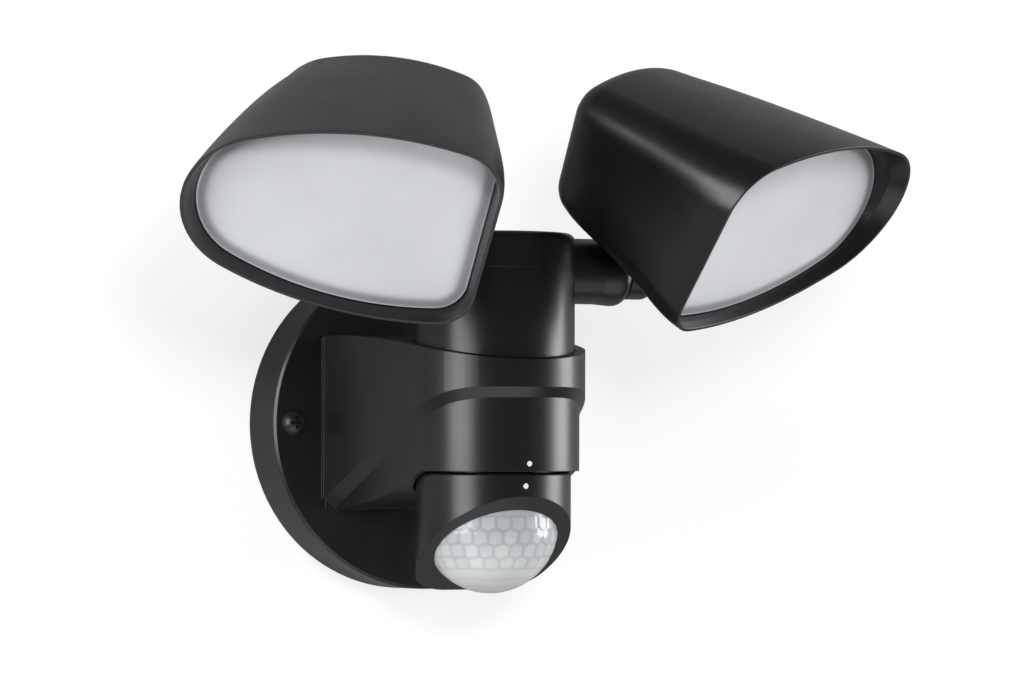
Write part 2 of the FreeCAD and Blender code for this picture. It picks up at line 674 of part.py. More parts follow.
    # groove for the foot seal, recess for the collar seal, dot and column screws
    body = body.cut(foot_frame(0.0, float(P.foot_seal_thick)))
    lip = float(P.column_radius) + play
    groove = Part.makeCylinder(lip + float(P.seal_depth), float(P.seal_height),
                               Vector(0, AXIS_Y, float(P.seal_base)))
    body = body.cut(groove)
    body = body.cut(dot_shape(lower_radius, float(P.collar_dot_height), 0.0))
    for sx in (-1, 1):
        x = sx * float(P.column_screw_x)
        seat = column_screw_seat()
        body = body.cut(Part.makeCylinder(float(P.column_screw_radius + P.screw_play), 14,
                                          Vector(x, seat + 2, float(P.column_screw_z)),
                                          Vector(0, -1, 0)))
        body = body.cut(Part.makeCylinder(float(P.column_head_radius + P.screw_play), 12,
                                          Vector(x, seat + 12, float(P.column_screw_z)),
                                          Vector(0, -1, 0)))
    return body.removeSplitter()


def column_screw_seat():
    """Where the column screws' heads bear on the back of the collar."""
    outer = float(P.column_radius + P.column_play + P.duct_wall)
    return AXIS_Y + math.sqrt(outer ** 2 - float(P.column_screw_x) ** 2) - 1.0


def foot_frame(slack, depth):
    """The rectangular ring between the foot and the plate, with some slack all round."""
    margin = float(P.foot_seal_margin)
    width = float(P.foot_seal_width)
    height = float(P.foot_height)
    half = float(P.foot_width) / 2 - margin
    low = float(P.foot_rise) - height / 2 + margin
    y = float(plate_face) - depth
    outer = Part.makeBox(2 * (half - slack), depth, height - 2 * margin - 2 * slack,
                         Vector(-half + slack, y, low + slack))
    inner = Part.makeBox(2 * (half - width + slack), depth + 2,
                         height - 2 * margin - 2 * width + 2 * slack,
                         Vector(-half + width - slack, y - 1, low + width - slack))
    return outer.cut(inner)


def dot_shape(radius, height, slack):
    """A small round inlay on the front of a cylinder round the column's axis."""
    deep = float(P.dot_depth)
    dot = Part.makeCylinder(float(P.dot_radius) - slack, deep + 2,
                            Vector(0, AXIS_Y - radius + deep, height), Vector(0, -1, 0))
    skin = Part.makeCylinder(radius, 6, Vector(0, AXIS_Y, height - 3))
    return dot.common(skin) if slack > 0 else dot


shape_node("bracket_housing", bracket_shape())
shape_node("bracket_gasket", foot_frame(0.05, float(P.foot_seal_thick)))
bracket_screw = screw(float(P.bracket_head_radius), float(P.bracket_head_height),
                      float(P.bracket_screw_radius),
                      float(P.plate_front + P.bracket_screw_length) - 2)
shape_node("bracket_screws", copies(bracket_screw, [
    Placement(Vector(sx * float(P.bracket_screw_x), float(plate_floor),
                     sz * float(P.bracket_screw_z)), ALONG_Y)
    for sx in (-1, 1) for sz in (-1, 1)]))
shape_node("collar_index_dot", dot_shape(float(P.collar_lower_radius),
                                         float(P.collar_dot_height), 0.02))

# --------------------------------------------------------------------------
# Column, cap and the driver inside
# --------------------------------------------------------------------------
column_inner = P.column_radius - P.column_wall
axis_y = -P.column_offset
tube = new_body("column_shell")
turned(tube, [
    (column_inner, P.column_base), (P.column_radius, P.column_base),
    (P.column_radius, P.split_height), (column_inner, P.split_height)], role="XZ_Plane")
bind(tube, "Placement.Base.y", axis_y)
seat_radius = P.arm_neck_radius + P.running_play
arm_seat = cylinder(seat_radius, 2.0 * P.column_radius + 4.0, -P.column_radius - 2.0, axis_y,
                    P.split_height, ALONG_X)
inner_core = cylinder(P.column_radius - 0.5 * P.column_wall, P.cap_top - P.column_base,
                      0.0, axis_y, P.column_base)
rail_parts = []
rail_tip = 0.5 * P.board_width - P.rail_overlap
for side in (-1, 1):
    rail_x = rail_tip if side > 0 else -P.column_radius
    rail_parts.append(box(P.column_radius - rail_tip, P.rail_depth, P.board_height,
                          rail_x, axis_y + P.board_offset - 0.5 * P.rail_depth, P.board_base))
lug_low = P.split_height - P.cap_lug_height
lugs = []
for side in (-1.0, 1.0):
    lugs.append(cylinder(P.cap_lug_radius, P.cap_lug_height, 0.0,
                         axis_y + side * P.cap_screw_offset, lug_low))
    lugs.append(box(2.0 * P.cap_lug_radius, P.column_radius - P.cap_screw_offset,
                    P.cap_lug_height, -P.cap_lug_radius,
                    axis_y + (P.cap_screw_offset if side > 0 else -P.column_radius), lug_low))
screw_bosses = []
boss_start = column_screw_seat() - 3.0
for side in (-1.0, 1.0):
    screw_bosses.append(cylinder(P.column_boss_radius, P.column_boss_length + P.column_wall,
                                 side * P.column_screw_x, boss_start, P.column_screw_z, TO_FRONT))
fittings = common(fuse(*(rail_parts + lugs + screw_bosses)), inner_core)
column_tools = [arm_seat]
column_tools.append(box(P.board_width + 0.2, P.board_thick + 0.04, P.board_height + 1.0,
                        -0.5 * P.board_width - 0.1,
                        axis_y + P.board_offset - 0.5 * P.board_thick - 0.02,
                        P.board_base))
for side in (-1.0, 1.0):
    column_tools.append(cylinder(P.cap_screw_radius + P.running_play, P.cap_lug_height + 2.0, 0.0,
                                 axis_y + side * P.cap_screw_offset, lug_low - 1.0))
    column_tools.append(cylinder(P.column_screw_radius + P.running_play,
                                 P.column_screw_length + 3.0, side * P.column_screw_x,
                                 boss_start + 3.0, P.column_screw_z, TO_FRONT))
column_tools.append(box(P.passage_width, 12.0, P.passage_top - P.passage_bottom,
                        -0.5 * P.passage_width, axis_y + P.column_radius - 8.0, P.passage_bottom))
node("column_tube", cut(fuse(tube, fittings), *column_tools))

seal = new_body("column_seal")
turned(seal, [
    (P.column_radius + 0.02, P.seal_base + 0.02),
    (P.column_radius + P.column_play + P.seal_depth - 0.05, P.seal_base + 0.02),
    (P.column_radius + P.column_play + P.seal_depth - 0.05, P.seal_base + P.seal_height - 0.02),
    (P.column_radius + 0.02, P.seal_base + P.seal_height - 0.02)], role="XZ_Plane")
bind(seal, "Placement.Base.y", axis_y)
node("column_seal", seal)

column_screw = screw(float(P.column_head_radius), float(P.column_head_height),
                     float(P.column_screw_radius), float(P.column_screw_length))
shape_node("column_screws", copies(column_screw, [
    Placement(Vector(side * float(P.column_screw_x), column_screw_seat(),
                     float(P.column_screw_z)), ALONG_Y) for side in (-1, 1)]))

cap = new_body("cap_shell")
cap_solid = turned(cap, [
    (column_inner, P.split_height), (P.column_radius, P.split_height),
    (P.column_radius, P.cap_top), (0.0, P.cap_top), (0.0, P.cap_top - P.cap_thick),
    (column_inner, P.cap_top - P.cap_thick)], role="XZ_Plane")
round_edges(cap, cap_solid, ring_at(P.column_radius, P.cap_top), P.cap_round)
bind(cap, "Placement.Base.y", axis_y)
cap_bosses = []
for side in (-1.0, 1.0):
    cap_bosses.append(cylinder(P.cap_lug_radius, P.cap_top - P.split_height - 0.5 * P.cap_thick,
                               0.0, axis_y + side * P.cap_screw_offset, P.split_height))
cap_tools = [arm_seat]
for side in (-1.0, 1.0):
    cap_tools.append(cylinder(P.cap_screw_radius + P.running_play, P.cap_thread_length, 0.0,
                              axis_y + side * P.cap_screw_offset, P.split_height - 0.1))
node("top_cap", cut(fuse(cap, *cap_bosses), *cap_tools))

cap_screw = screw(float(P.cap_head_radius), float(P.cap_head_height), float(P.cap_screw_radius),
                  float(P.cap_lug_height + P.cap_thread_length) - 0.8)
shape_node("cap_screws", copies(cap_screw, [
    Placement(Vector(0, AXIS_Y + side * float(P.cap_screw_offset), float(lug_low)),
              Rotation(X_AXIS, 180)) for side in (-1, 1)]))

board_y = axis_y + P.board_offset - 0.5 * P.board_thick
node("driver_board", box(P.board_width, P.board_thick, P.board_height,
                         -0.5 * P.board_width, board_y, P.board_base))
transformer_base = P.board_base + 3.0
node("driver_transformer", box(P.transformer_width, P.transformer_depth, P.transformer_height,
                               -0.5 * P.transformer_width, board_y - P.transformer_depth,
                               transformer_base))
relay_base = transformer_base + P.transformer_height + 2.0
node("driver_relay", box(P.relay_width, P.relay_depth, P.relay_height,
                         -0.4 * P.board_width, board_y - P.relay_depth, relay_base))
capacitor = Part.makeCylinder(float(P.capacitor_radius), float(P.capacitor_length))
shape_node("driver_capacitors", copies(capacitor, [
    Placement(Vector(3 + index * float(P.capacitor_pitch), float(board_y),
                     float(relay_base) + float(P.capacitor_radius)), TO_FRONT)
    for index in (0, 1)]))
node("driver_connector", box(P.connector_width, P.connector_depth, P.connector_height,
                             -0.5 * P.connector_width, board_y + P.board_thick,
                             P.passage_bottom + 2.0))

# --------------------------------------------------------------------------
# Side arms, mirror images: a saddle on the column and a rounded outer lip
# --------------------------------------------------------------------------
SIDES = (("left", -1), ("right", 1))


def mirrored(shape, side):
    return shape.mirror(Vector(0, 0, 0), X_AXIS) if side < 0 else shape


def turned_solid(points, axis):
    """A solid of revolution about the X axis from (x, radius) points, with rounded corners
    where a point has a third number."""
    corners = [Vector(point[0], point[1], 0) for point in points]
    edges = []
    total = len(points)
    ends = []
    for index, point in enumerate(points):
        radius = point[2] if len(point) > 2 else 0.0
        here = corners[index]
        before = (corners[index - 1] - here).normalize()
        after = (corners[(index + 1) % total] - here).normalize()
        if radius <= 0:
            ends.append((here, here))
            continue
        half = before.getAngle(after) / 2
        back = radius / math.tan(half)
        start = here + before * back
        stop = here + after * back
        centre = here + (before + after).normalize() * (radius / math.sin(half))
        middle = centre + (here - centre).normalize() * radius
        edges.append((index, Part.Arc(start, middle, stop).toShape()))
        ends.append((start, stop))
    arcs = dict(edges)
    outline = []
    for index in range(total):
        if index in arcs:
            outline.append(arcs[index])
        start = ends[index][1]
        stop = ends[(index + 1) % total][0]
        if (stop - start).Length > 1e-6:
            outline.append(Part.LineSegment(start, stop).toShape())
    face = Part.Face(Part.Wire(Part.__sortEdges__(outline)))
    return face.revolve(Vector(0, 0, 0), axis, 360)


def arm_shape():
    """The right arm in a frame with X along the arm and the column's axis at X = 0."""
    radius = float(P.arm_radius)
    end = float(P.arm_end)
    lip = radius + float(P.arm_flare)
    column = float(P.column_radius)
    sleeve = turned_solid([
        (10.0, 0.0), (10.0, radius), (column + 10.0, radius), (end - 5.5, lip, 3.0),
        (end, lip, float(P.arm_end_round)), (end, 0.0)], X_AXIS)
    seat_gap = 0.02
    wall_drum = Part.makeCylinder(column + seat_gap, 60, Vector(0, 0, -30))
    sleeve = sleeve.cut(wall_drum)
    neck_start = float(P.arm_inner_end)
    neck = Part.makeCylinder(float(P.arm_neck_radius), column + 4 - neck_start,
                             Vector(neck_start, 0, 0), X_AXIS)
    flange = Part.makeCylinder(float(P.arm_flange_radius), 12, Vector(neck_start, 0, 0), X_AXIS)
    inside = Part.makeCylinder(float(column_inner) - 0.05, 60, Vector(0, 0, -30))
    arm = sleeve.fuse([neck, flange.common(inside)])
    bore = Part.makeCylinder(float(P.spigot_radius + P.running_play), 60, Vector(0, 0, 0), X_AXIS)
    groove = Part.makeCylinder(float(P.spigot_radius + P.arm_seal_width), 10,
                               Vector(end - float(P.arm_seal_depth), 0, 0), X_AXIS)
    return arm.cut([bore, groove]).removeSplitter()


def arm_seal_shape():
    start = float(P.arm_end - P.arm_seal_depth)
    depth = float(P.arm_seal_depth) - 0.1
    outer = Part.makeCylinder(float(P.spigot_radius + P.arm_seal_width) - 0.03, depth,
                              Vector(start, 0, 0), X_AXIS)
    return outer.cut(Part.makeCylinder(float(P.spigot_radius + P.running_play), depth + 2,
                                       Vector(start - 1, 0, 0), X_AXIS))


arm_solid = arm_shape()
arm_seal = arm_seal_shape()
for side_name, side in SIDES:
    at_column = Placement(Vector(0, AXIS_Y, float(P.split_height)), Rotation())
    shape_node("arm_" + side_name, mirrored(arm_solid, side), at_column)
    shape_node("arm_seal_" + side_name, mirrored(arm_seal, side), at_column)

# --------------------------------------------------------------------------
# Elbows: frame with X along the arm, Z along the neck, origin where the two axes meet
# --------------------------------------------------------------------------
inner_face = float(P.arm_inner_end - P.pivot_offset)
washer_thick = float(P.washer_thick)
nut_thick = float(P.nut_thick)
play = float(P.running_play)


def hex_nut(flats, bore, thick, start, axis):
    points = []
    for index in range(7):
        angle = math.radians(60 * index)
        reach_out = flats / 2 / math.cos(math.radians(30))
        points.append(Vector(reach_out * math.cos(angle), reach_out * math.sin(angle), 0))
    nut = Part.Face(Part.makePolygon(points)).extrude(Vector(0, 0, thick))
    nut = nut.cut(Part.makeCylinder(bore, thick + 2, Vector(0, 0, -1)))
    return nut.transformed(Placement(axis * start, Rotation(Z_AXIS, axis)).toMatrix(), True)


def ring(outer, inner, thick, start, axis):
    solid = Part.makeCylinder(outer, thick, axis * start, axis)
    return solid.cut(Part.makeCylinder(inner, thick + 2, axis * (start - 1), axis))


def elbow_shape():
    radius = float(P.knuckle_radius)
    near = float(P.arm_end - P.pivot_offset + P.knuckle_gap)
    far = float(P.knuckle_end)
    tail = inner_face - washer_thick - nut_thick - float(P.thread_tail)
    spigot = float(P.spigot_radius)
    puck = turned_solid([
        (tail, 0.0), (tail, spigot), (near, spigot), (near, radius, 0.4),
        (far, radius, float(P.knuckle_round)), (far, 0.0)], X_AXIS)
    neck = Part.makeCylinder(float(P.neck_radius), float(P.neck_length))
    top = neck_top()
    stud = Part.makeCylinder(float(P.neck_spigot_radius), top)
    body = puck.fuse([neck, stud])
    bore = float(P.elbow_bore_radius)
    across = Part.makeCylinder(bore, -tail + 1, Vector(tail - 1, 0, 0), X_AXIS)
    along = Part.makeCylinder(bore, top + 1)
    turn = Part.makeSphere(bore)
    return body.cut([across, along, turn]).removeSplitter()


def boss_end():
    return float(P.neck_length + P.seat_play + P.boss_length)


def neck_top():
    return boss_end() + float(P.seat_play) + washer_thick + nut_thick + float(P.thread_tail)


elbow_solid = elbow_shape()
spigot_bore = float(P.spigot_radius) + 0.02
neck_bore = float(P.neck_spigot_radius) + 0.02
ELBOW_PARTS = [
    ("elbow", elbow_solid),
    ("elbow_washer", ring(float(P.washer_radius), spigot_bore, washer_thick,
                          inner_face - washer_thick - 0.05, X_AXIS)),
    ("elbow_nut", hex_nut(float(P.nut_flats), spigot_bore, nut_thick,
                          inner_face - washer_thick - nut_thick - 0.05, X_AXIS)),
    ("neck_washer", ring(float(P.washer_radius), neck_bore, washer_thick,
                         boss_end() + float(P.seat_play), Z_AXIS)),
    ("neck_nut", hex_nut(float(P.nut_flats), neck_bore, nut_thick,
                         boss_end() + float(P.seat_play) + washer_thick, Z_AXIS)),
]
TILT = {"left": float(P.tilt_left), "right": float(P.tilt_right)}
SWIVEL = {"left": float(P.swivel_left), "right": float(P.swivel_right)}


def elbow_place(side_name):
    pivot = Vector(float(P.pivot_offset), AXIS_Y, float(P.split_height))
    return Placement(pivot, Rotation(X_AXIS, TILT[side_name]))


def head_place(side_name):
    """From the head's own frame to the object's, for the right-hand build of a head."""
    swivel = Placement(Vector(0, 0, 0), Rotation(Z_AXIS, SWIVEL[side_name]))
    seat = Placement(Vector(0, 0, 0), Rotation(float(P.seat_yaw), float(P.seat_pitch),
                                               float(P.seat_roll)))
    return elbow_place(side_name).multiply(swivel).multiply(seat).multiply(
        Placement(PIVOT.negative(), Rotation()))


def mirror_place(placement, side):
    """The placement that puts a piece mirrored in its own frame at the mirrored place."""
    if side > 0:
        return placement
    flip = FreeCAD.Matrix()
    flip.scale(-1, 1, 1)
    return Placement(flip.multiply(placement.toMatrix()).multiply(flip))


PIVOT = Vector(float(P.pivot_across), -float(P.pivot_below), -float(P.pivot_behind))
for side_name, side in SIDES:
    for stem, solid in ELBOW_PARTS:
        shape_node("%s_%s" % (stem, side_name), mirrored(solid, side),
                   mirror_place(elbow_place(side_name), side))

# --------------------------------------------------------------------------
# Lamp heads. Head frame: X from the flat inner side to the rounded outer tip, Y up across
# the beam, Z along the beam. The rim lies in a plane that slopes with rim_slope along X and
# rim_twist along Y. The diffuser and all the layers behind it follow lens_slope and
# lens_twist.
# --------------------------------------------------------------------------
WIDTH = float(P.head_width)


def side_arc(half, width, corner, tip, bow, inset, sign):
    """Corner arc and side arc of one side of the section, and the tip's tangent angle."""
    k = Vector(corner, half - corner, 0)
    t = Vector(width - tip, 0, 0)
    span = (t - k).Length
    big = bow * span - inset
    near = big - corner
    far = big - tip
    along = (near ** 2 - far ** 2 + span ** 2) / (2 * span)
    up = math.sqrt(max(near ** 2 - along ** 2, 1e-6))
    axis = (t - k).normalize()
    normal = Vector(-axis.y, axis.x, 0)
    if normal.y > 0:
        normal = normal.negative()
    q = k + axis * along + normal * up
    from_k = math.atan2((k - q).y, (k - q).x)
    from_t = math.atan2((t - q).y, (t - q).x)

    def at(centre, radius, angle):
        return Vector(centre.x + radius * math.cos(angle),
                      sign * (centre.y + radius * math.sin(angle)), 0)

    corner_arc = Part.Arc(at(k, corner, math.pi), at(k, corner, (math.pi + from_k) / 2),
                          at(k, corner, from_k))
    long_arc = Part.Arc(at(q, big, from_k), at(q, big, (from_k + from_t) / 2),
                        at(q, big, from_t))
    return corner_arc, long_arc, at(t, tip, from_t)


def section_wire(share, inset, depth=None):
    """The head's section at a share of its depth: 0 at the rim, 1 at the back."""
    fall = max(share, 0.0) ** float(P.taper_power)
    scale = 1 - (1 - float(P.back_scale)) * fall
    upper = float(P.head_upper) * scale - inset
    lower = float(P.head_lower) * scale - inset
    width = WIDTH * scale - 2 * inset
    least = 0.4
    up = side_arc(upper, width, max(float(P.corner_upper) * scale - inset, least),
                  max(float(P.tip_round) * scale - inset, least), float(P.bow_upper),
                  inset, 1)
    down = side_arc(lower, width, max(float(P.corner_lower) * scale - inset, least),
                    max(float(P.tip_round) * scale - inset, least), float(P.bow_lower),
                    inset, -1)
    tip = Part.Arc(up[2], Vector(width, 0, 0), down[2])
    flat = Part.LineSegment(down[0].StartPoint, up[0].StartPoint)
    edges = [flat, up[0], up[1], tip, down[1], down[0]]
    wire = Part.Wire([edge.toShape() for edge in edges])
    # slope of this section, from the rim's slope to the back's
    blend = min(max(share, 0.0) / float(P.slope_share), 1.0)
    slope = (1 - blend) * float(P.rim_slope) + share * float(P.back_slope)
    twist = (1 - blend) * float(P.rim_twist)
    middle = WIDTH / 2 + float(P.back_shift) * fall
    lift = float(P.back_lift) * fall
    level = -share * float(P.head_depth) if depth is None else depth
    move = FreeCAD.Matrix()
    move.A14 = middle - width / 2
    move.A24 = lift
    move.A31 = slope
    move.A32 = twist
    move.A34 = level - slope * width / 2
    return wire.transformGeometry(move)


def lofted(inset, back_inset=0.0, rim_inset=None):
    """The tapering solid inside the head's outer surface, drawn in by an inset. With an inset
    of its own at the rim, the full inset is reached at the mouth's depth."""
    depth = float(P.head_depth)
    curve = float(P.back_round) - min(inset, 3.0)
    last = (depth - back_inset) / depth
    turn = last - curve / depth
    first = inset if rim_inset is None else rim_inset
    front = section_wire(0.0, first, depth=26.0)
    rim = section_wire(0.0, first)
    pieces = [Part.makeLoft([front, rim], True, True)]
    throat = rim
    if rim_inset is not None:
        throat = section_wire(float(P.mouth_depth) / depth, inset)
        pieces.append(Part.makeLoft([rim, throat], True, True))
    shares = [turn * step / 5 for step in range(1, 6)]
    sides = [throat] + [section_wire(share, inset) for share in shares]
    ends = []
    for angle in (0, 18, 36, 54, 70, 82):
        lean = math.radians(angle)
        share = turn + curve * math.sin(lean) / depth
        ends.append(section_wire(share, inset + curve * (1 - math.cos(lean))))
    pieces += [Part.makeLoft(sides, True, False), Part.makeLoft(ends, True, False)]
    return pieces[0].fuse(pieces[1:])


class Plane:
    """A plane across the head, given by its slopes along X and Y."""

    def __init__(self, slope, twist):
        self.normal = Vector(-float(slope), -float(twist), 1).normalize()
        along = Vector(1, 0, float(slope)).normalize()
        self.turn = Rotation(along, self.normal.cross(along), self.normal, "ZXY")


RIM = Plane(P.rim_slope, P.rim_twist)
LENS = Plane(P.lens_slope, P.lens_twist)


def layer_place(depth, across=0.0, up=0.0, plane=LENS):
    """A frame parallel to a plane, a depth behind the rim, centred on the head's middle."""
    frame = Placement(Vector(WIDTH / 2, 0, -depth), plane.turn)
    return frame.multiply(Placement(Vector(across, up, 0), Rotation()))


def slab(front_depth, back_depth, plane=LENS):
    """The layer between two depths behind the rim."""
    thick = (back_depth - front_depth) * plane.normal.z
    layer = Part.makeBox(300, 300, thick, Vector(-150, -150, -thick))
    layer.Placement = layer_place(front_depth, plane=plane)
    return layer


wall = float(P.head_wall)
recess = float(P.lens_recess)
lens_back = recess + float(P.lens_thick)
gasket_back = lens_back + float(P.lens_gasket_thick)
ledge_back = gasket_back + float(P.lens_ledge_thick)
board_front = ledge_back + float(P.board_gap)
board_back = board_front + float(P.led_board_thick)
spreader_back = board_back + float(P.spreader_thick)
shelf_back = spreader_back + float(P.spreader_ledge_thick)
outer_loft = lofted(0.0)
inner_loft = lofted(wall, wall, float(P.rim_edge))
BEAM = Placement(Vector(0, 0, 0), Rotation(float(P.seat_yaw), float(P.seat_pitch),
                                           float(P.seat_roll)))
NECK_AXIS = BEAM.inverse().multVec(Z_AXIS)


def screw_sites():
    """Four screw places on the shelf that carries the heat spreader."""
    reach_x = 0.36 * WIDTH
    return [(-reach_x, 0.52 * float(P.head_upper)), (-reach_x, -0.52 * float(P.head_lower)),
            (0.30 * WIDTH, 0.50 * float(P.head_upper)), (0.30 * WIDTH, -0.50 * float(P.head_lower))]


def housing_shape():
    shell = outer_loft.common(slab(0.0, 200.0, RIM)).cut(inner_loft)
    shelves = []
    for front, back, reach_in in ((gasket_back, ledge_back, float(P.ledge_reach)),
                                  (spreader_back, shelf_back, float(P.spreader_ledge_reach))):
        layer = lofted(wall - 0.3).common(slab(front, back))
        shelves.append(layer.cut(lofted(wall + reach_in, wall)))
    shell = shell.fuse(shelves)
    start = float(P.neck_length + P.seat_play)
    boss = Part.makeCylinder(float(P.head_boss_radius), float(P.boss_length),
                             PIVOT + NECK_AXIS * start, NECK_AXIS)
    shell = shell.fuse(boss)
    bore = Part.makeCylinder(float(P.neck_spigot_radius + P.running_play),
                             float(P.boss_length) + 20, PIVOT + NECK_AXIS * (start - 10),
                             NECK_AXIS)
    shell = shell.cut(bore)
    for x, y in screw_sites():
        hole = Part.makeCylinder(float(P.board_screw_radius + P.running_play), 60,
                                 Vector(0, 0, -30))
        hole.Placement = layer_place(board_front, x, y).multiply(hole.Placement)
        shell = shell.cut(hole.common(slab(spreader_back - 0.1, shelf_back + 2)))
    return shell.removeSplitter()


lens_edge = wall + float(P.lens_play)


def diffuser_shape():
    plate = lofted(lens_edge).common(slab(recess, lens_back))
    field = lofted(lens_edge + float(P.lens_flange)).common(
        slab(recess - float(P.lens_field_step), lens_back))
    return plate.fuse(field).removeSplitter()


def lens_gasket_shape():
    layer = slab(lens_back, gasket_back)
    outer = lofted(lens_edge).common(layer)
    return outer.cut(lofted(wall + float(P.ledge_reach)))


def with_holes(solid, radius):
    for x, y in screw_sites():
        hole = Part.makeCylinder(radius, 60, Vector(0, 0, -30))
        hole.Placement = layer_place(board_front, x, y).multiply(hole.Placement)
        solid = solid.cut(hole)
    return solid


def leds_shape():
    """Chips in rows on the board, as many as fit clear of its edge and of the screws."""
    size = float(P.led_size)
    tall = float(P.led_height)
    chips = []
    chip = Part.makeBox(size, size, tall, Vector(-size / 2, -size / 2, 0))
    for row in range(-1, 2):
        for column in range(-3, 3):
            x = (column + 0.5) * float(P.led_pitch_across) - 2
            y = row * float(P.led_pitch_up)
            chips.append(layer_place(board_front, x, y))
    return copies(chip, chips)


head_screw = screw(float(P.board_head_radius), float(P.board_head_height),
                   float(P.board_screw_radius),
                   (shelf_back - board_front) * LENS.normal.z - 0.3)
board_solid = lofted(wall + float(P.led_board_margin)).common(slab(board_front, board_back))
spreader_solid = lofted(wall + float(P.lens_play)).common(slab(board_back, spreader_back))
hole_radius = float(P.board_screw_radius + P.running_play)
HEAD_PARTS = [
    ("lamp_housing", housing_shape()),
    ("diffuser", diffuser_shape()),
    ("lens_gasket", lens_gasket_shape()),
    ("led_board", with_holes(board_solid, hole_radius)),
    ("leds", leds_shape()),
    ("heat_spreader", with_holes(spreader_solid, hole_radius)),
    ("board_screws", copies(head_screw, [layer_place(board_front, x, y)
                                         for x, y in screw_sites()])),
]
for side_name, side in SIDES:
    for stem, solid in HEAD_PARTS:
        shape_node("%s_%s" % (stem, side_name), mirrored(solid, side),
                   mirror_place(head_place(side_name), side))

# --------------------------------------------------------------------------
# Sensor housing under the collar
# --------------------------------------------------------------------------
swivel_inner = P.swivel_radius - P.swivel_wall
neck_top_z = P.collar_floor + P.swivel_lift
sensor_inner = P.sensor_radius - P.sensor_wall
outer_cup = new_body("sensor_outer")
outer_turn = turned(outer_cup, [
    (0.0, P.sensor_bottom), (P.sensor_radius, P.sensor_bottom), (P.sensor_radius, P.sensor_top),
    (P.swivel_radius, P.sensor_top), (P.swivel_radius, neck_top_z), (0.0, neck_top_z)],
    role="XZ_Plane")
rounded = round_edges(outer_cup, outer_turn, ring_at(P.sensor_radius, P.sensor_bottom),
                      P.sensor_round)
round_edges(outer_cup, rounded, ring_at(P.sensor_radius, P.sensor_top), P.sensor_top_round)
bind(outer_cup, "Placement.Base.y", axis_y)
inner_cup = new_body("sensor_inner")
turned(inner_cup, [
    (0.0, P.sensor_bottom + P.sensor_wall), (sensor_inner, P.sensor_bottom + P.sensor_wall),
    (sensor_inner, P.sensor_top - P.sensor_wall), (swivel_inner, P.sensor_top - P.sensor_wall),
    (swivel_inner, neck_top_z + 1.0), (0.0, neck_top_z + 1.0)], role="XZ_Plane")
bind(inner_cup, "Placement.Base.y", axis_y)
# face frame: Z points out of the slanted face, forwards and down
FACE_TURN = Rotation(X_AXIS, 180 - float(P.sensor_face_angle))
FACE_BASE = Vector(0, AXIS_Y, float(P.face_height))
FACE = Placement(FACE_BASE, FACE_TURN)


def face_solid(solid):
    solid = solid.copy()
    solid.Placement = FACE.multiply(solid.Placement)
    return solid


outside = face_solid(Part.makeBox(120, 120, 60, Vector(-60, -60, 0)))
hollow_limit = face_solid(Part.makeBox(120, 120, 60, Vector(-60, -60, -float(P.face_plate))))
SHIFT_Y = float(P.dome_shift)
face_hole = face_solid(Part.makeCylinder(float(P.dome_rim_radius + P.dome_play), 30,
                                         Vector(0, SHIFT_Y, -10)))
skin = cut(outer_cup, fixed(outside, "outside"))
hollow = cut(inner_cup, fixed(hollow_limit, "hollow_limit"))
sensor_dot_hole = fixed(dot_shape(float(P.sensor_radius), float(P.sensor_dot_height), 0.0))
screw_ring = float(P.swivel_radius) - float(P.swivel_wall) / 2
retainer_sites = []
for index in range(3):
    angle = math.radians(90 + 120 * index)
    retainer_sites.append(Vector(screw_ring * math.cos(angle),
                                 AXIS_Y + screw_ring * math.sin(angle), float(neck_top_z)))
thread_holes = []
for site in retainer_sites:
    low = Vector(site.x, site.y, site.z - float(P.retainer_screw_length))
    thread_holes.append(Part.makeCylinder(float(P.retainer_screw_radius) + 0.02,
                                          float(P.retainer_screw_length) + 2, low))
node("sensor_housing", cut(skin, hollow, fixed(face_hole, "face_hole"), sensor_dot_hole,
                           fixed(Part.makeCompound(thread_holes), "thread_holes")))
shape_node("sensor_index_dot", dot_shape(float(P.sensor_radius),
                                         float(P.sensor_dot_height), 0.02))

retainer = Part.makeCylinder(float(P.retainer_radius), float(P.retainer_thick),
                             Vector(0, AXIS_Y, float(neck_top_z)))
retainer = retainer.cut(Part.makeCylinder(float(swivel_inner), 10,
                                          Vector(0, AXIS_Y, float(neck_top_z) - 2)))
retainer = retainer.cut([Part.makeCylinder(float(P.retainer_screw_radius) + 0.05, 8,
                                           site - Vector(0, 0, 2)) for site in retainer_sites])
shape_node("sensor_retainer", retainer)
retainer_screw = screw(float(P.retainer_head_radius), float(P.retainer_head_height),
                       float(P.retainer_screw_radius),
                       float(P.retainer_thick + P.retainer_screw_length) - 0.5)
shape_node("sensor_retainer_screws", copies(retainer_screw, [
    Placement(site + Vector(0, 0, float(P.retainer_thick)), Rotation())
    for site in retainer_sites]))

rim_radius = float(P.dome_rim_radius)
dome_wall = float(P.dome_wall)
ball = Part.makeSphere(float(P.dome_radius), Vector(0, SHIFT_Y, -float(P.dome_sink)))
core = Part.makeSphere(float(P.dome_radius) - dome_wall, Vector(0, SHIFT_Y, -float(P.dome_sink)))
above = math.sqrt(float(P.dome_radius) ** 2 - rim_radius ** 2) - float(P.dome_sink)
trim = Part.makeCylinder(rim_radius, 40, Vector(0, SHIFT_Y, above))
flange_back = -float(P.face_plate + P.dome_flange_thick)
tube_wall = Part.makeCylinder(rim_radius, above - flange_back, Vector(0, SHIFT_Y, flange_back))
flange_disc = Part.makeCylinder(float(P.dome_flange_radius), float(P.dome_flange_thick),
                                Vector(0, SHIFT_Y, flange_back))
solid_lens = ball.common(trim).fuse([tube_wall, flange_disc])
tube_core = Part.makeCylinder(rim_radius - dome_wall, above - flange_back + 1,
                              Vector(0, SHIFT_Y, flange_back - 1))
